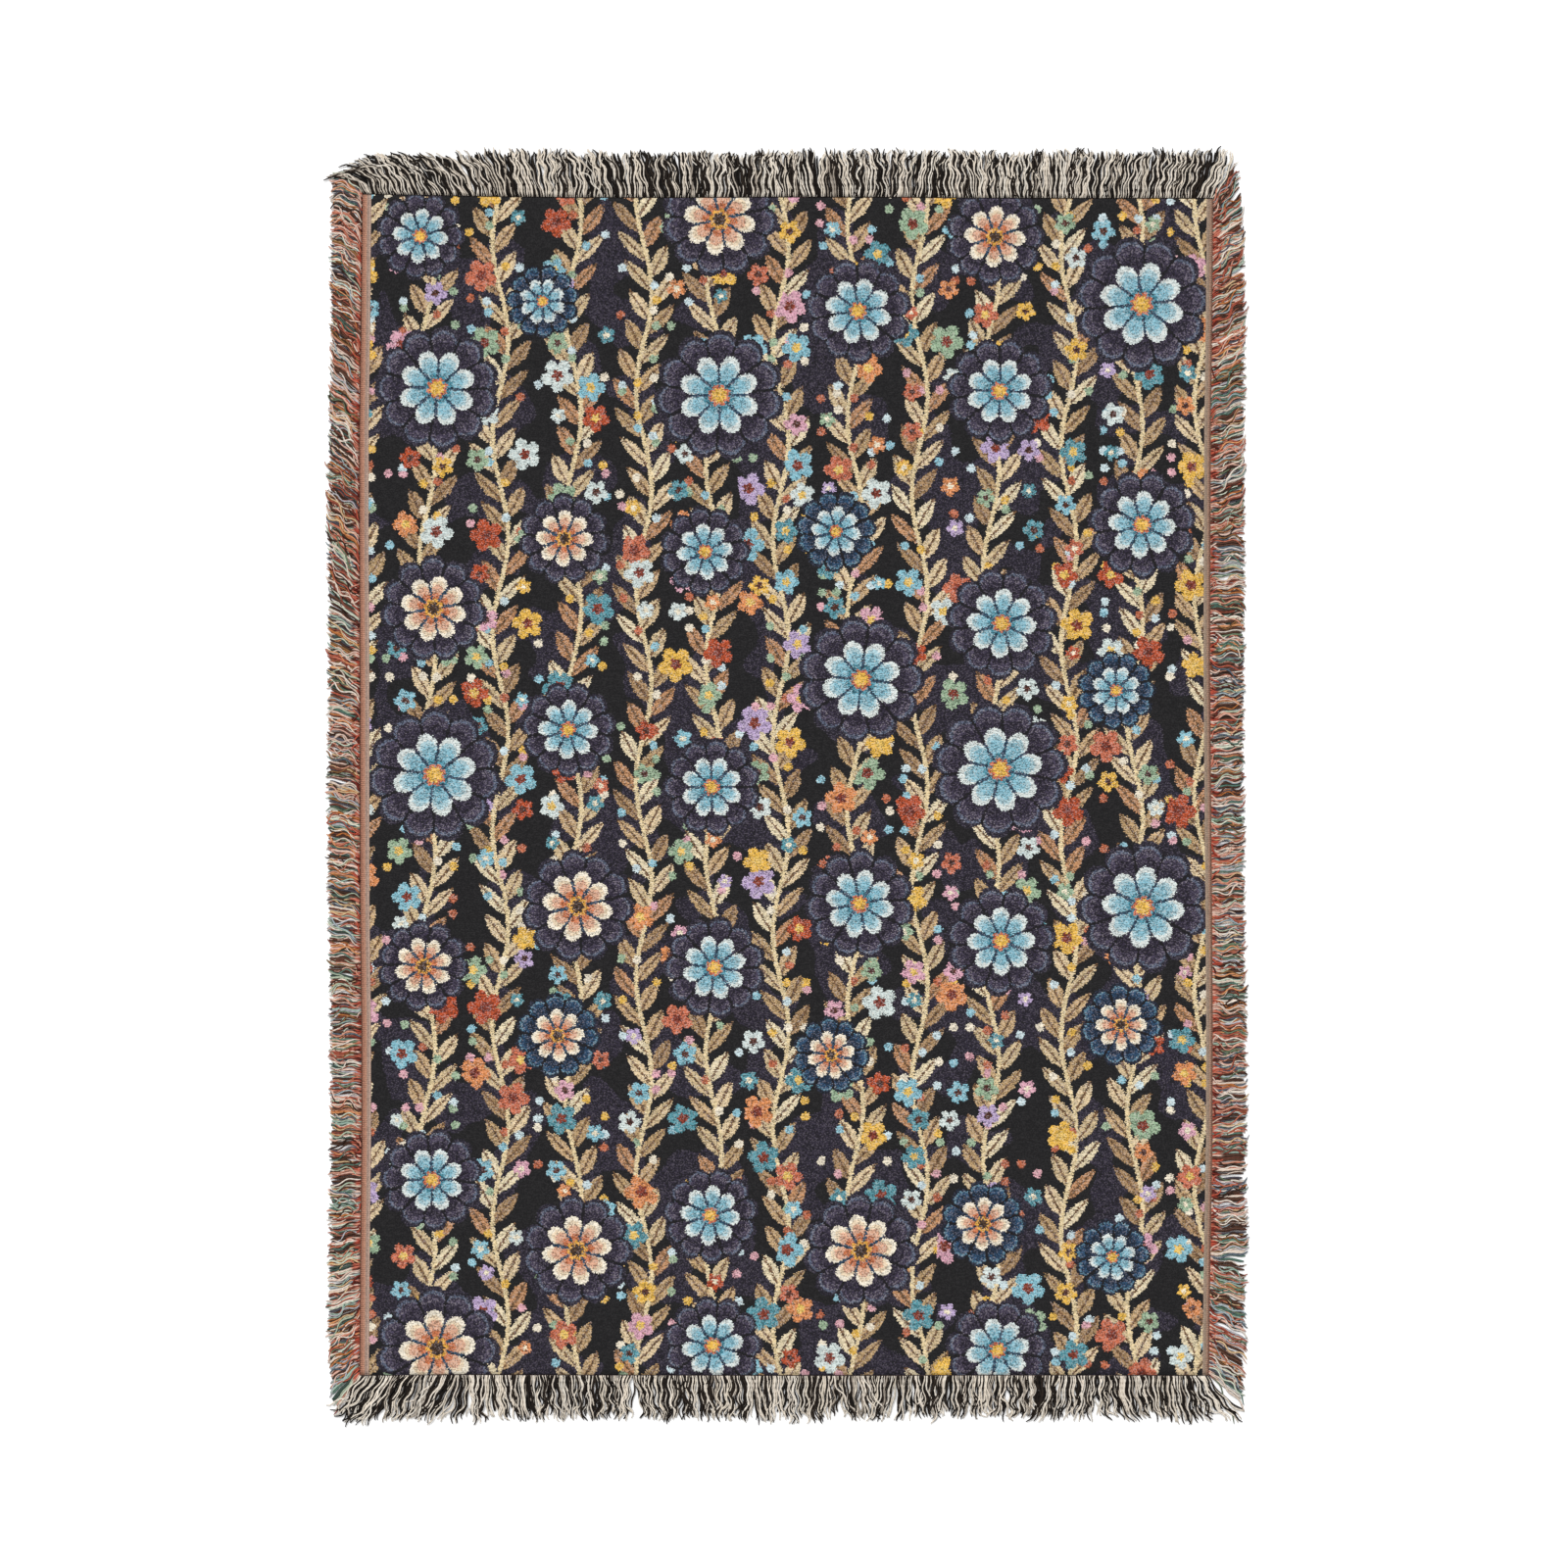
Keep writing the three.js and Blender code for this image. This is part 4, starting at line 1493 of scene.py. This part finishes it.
LEFT_LAY = (
    Lay(0.0, -58, -52, 42),
    Lay(0.012, -44, -40, 40),
    Lay(0.028, -38, -34, 37.5),
    Lay(0.045, -28, -24, 35.5),
    Lay(0.09, -18, -14, 33),
    Lay(0.14, -3, -3, 31.5),
    Lay(0.3, 8, 0, 31.5),
    Lay(0.45, 24, 6, 34),
    Lay(0.56, 28, 14, 35),
    Lay(0.592, 30, 12, 35),
    Lay(0.604, 30, 24, 36),
    Lay(0.66, 42, 36, 40.5),
    Lay(0.75, 44, 34, 40),
    Lay(0.86, 48, 36, 40),
    Lay(0.92, 54, 22, 39),
    Lay(0.97, 62, 8, 38),
    Lay(1.0, 66, 0, 40),
)
RIGHT_LAY = (
    Lay(0.0, -38, -36, 43),
    Lay(0.04, -27, -25, 40),
    Lay(0.094, -17, -19, 38),
    Lay(0.106, 4, 5, 37),
    Lay(0.16, 0, 4, 35),
    Lay(0.4, 2, 6, 33),
    Lay(0.6, 4, 6, 34.5),
    Lay(0.704, 8, -6, 35),
    Lay(0.716, 16, 22, 36),
    Lay(0.85, 26, 24, 37.5),
    Lay(0.94, 36, 28, 37.5),
    Lay(0.97, 42, 34, 39),
    Lay(0.985, 50, 54, 43),
    Lay(1.0, 56, 76, 48),
)

# The yarns of the warp, at the head and the foot, and of the weft, at the sides

WARP_YARNS = (
    YarnFamily(Tone.LIGHT, ("#fff6e8", "#fcf0e0", "#f5e9d7"), 0.86),
    # Greyed ivory: painted shade, ivory strands as they look where they lie in shade
    YarnFamily(Tone.LIGHT, ("#cdc2b4", "#b5a99b"), 0.14),
    YarnFamily(Tone.DEEP, ("#1a130f", "#251c16", "#31271f"), 1.0),
    # Shaded yarns: near-black, painted shade for the lowest layer
    YarnFamily(Tone.SHADED, ("#130e0b", "#1b1511"), 1.0),
)
WEFT_YARNS = (
    YarnFamily(Tone.LIGHT, ("#fbeee0", "#f0dccb"), 0.28),
    YarnFamily(Tone.LIGHT, ("#efbda9", "#e2a288", "#f4d3c2"), 0.27),
    YarnFamily(Tone.LIGHT, ("#c2cfb5", "#a9c3b3", "#dde4cf"), 0.2),
    YarnFamily(Tone.LIGHT, ("#e8c597", "#e5a06d"), 0.14),
    YarnFamily(Tone.LIGHT, ("#c6c3c9", "#b0bfc4"), 0.11),
    YarnFamily(Tone.DEEP, ("#bb604a", "#9d5342", "#cf7b62"), 0.28),
    YarnFamily(Tone.DEEP, ("#40291f", "#54382b"), 0.26),
    YarnFamily(Tone.DEEP, ("#5a7d6f", "#6f8e80", "#788a6d"), 0.2),
    YarnFamily(Tone.DEEP, ("#6c6873", "#64727f"), 0.1),
    YarnFamily(Tone.DEEP, ("#c57a42", "#93693f"), 0.16),
    # Shaded yarns: dark browns and greys, painted shade for the lowest layer
    YarnFamily(Tone.SHADED, ("#503529", "#614133", "#744637"), 0.75),
    YarnFamily(Tone.SHADED, ("#45584f", "#524f58"), 0.25),
)
WEFT_ROOTS = ("#cc5f48", "#b64a37", "#de9780", "#7a2c22", "#efcfbd", "#d27a63", "#5a231b")


def main() -> None:
    """Builds the studio, the cloth and its fringes, and reports each piece."""
    logging.basicConfig(level=logging.INFO, format="%(message)s")
    Studio().build(StudioFloor())
    plan = ClothPlan()
    panel = WovenPanel(plan)
    cloth = panel.build(TapestryFace(), SelvageWeave())
    warp = partial(
        YarnFringe,
        plan=plan,
        families=WARP_YARNS,
        strands=1350,
        slot="warp_fringe",
        lift_mm=1.0,
        root_calm=0.55,
    )
    weft = partial(
        YarnFringe,
        plan=plan,
        families=WEFT_YARNS,
        strands=1330,
        radius_mm=(0.65, 0.96),
        slot="weft_fringe",
        root_yarns=WEFT_ROOTS,
        stitch="#a9775f",
        wavelength_mm=21.0,
        lock_turn=0.7,
        own_turn=0.35,
        lock_mm=5.5,
        lock_lean=(11.0, 15.0),
        own_lean=(5.0, 9.0),
        most_lean=(66.0, 78.0),
        most_turn=80.0,
        gather=0.05,
        length_spread=0.05,
        cut=(0.85, 1.35),
        run_strands=(1.4, 1.0),
        run_spread=0.5,
        loyalty=0.6,
        under_share=0.5,
        under_level=0.42,
        under_width=1.6,
        under_calm=0.0,
        under_wave=0.3,
        curl_share=0.07,
    )
    # The warp yarn has less painted shade in its groove and on its flanks
    warp_yarn = partial(FringeYarn, groove_shade=0.12, flank_shade=0.25)
    head = warp(Edge.HEAD, lay=HEAD_LAY, seed=11, lock_turn=0.9, run_strands=(1.55, 1.75))
    foot = warp(
        Edge.FOOT,
        lay=FOOT_LAY,
        seed=12,
        gather=0.45,
        lock_lean=(6.0, 12.0),
        own_lean=(5.0, 13.0),
        length_spread=0.1,
        under_calm=0.7,
        under_length=0.85,
    )
    left = weft(Edge.LEFT, lay=LEFT_LAY, seed=13)
    right = weft(Edge.RIGHT, lay=RIGHT_LAY, seed=14, run_strands=(1.25, 1.0))
    fringes = [
        head.build(warp_yarn("cotton_warp_yarn_head")),
        foot.build(warp_yarn("cotton_warp_yarn_foot")),
        left.build(FringeYarn("cotton_weft_yarn_left")),
        right.build(FringeYarn("cotton_weft_yarn_right")),
    ]
    for piece in (cloth, *fringes):
        log.info("%s: %d points, %d faces", piece.name, len(piece.data.vertices), len(piece.data.polygons))


if __name__ == "__main__":
    main()
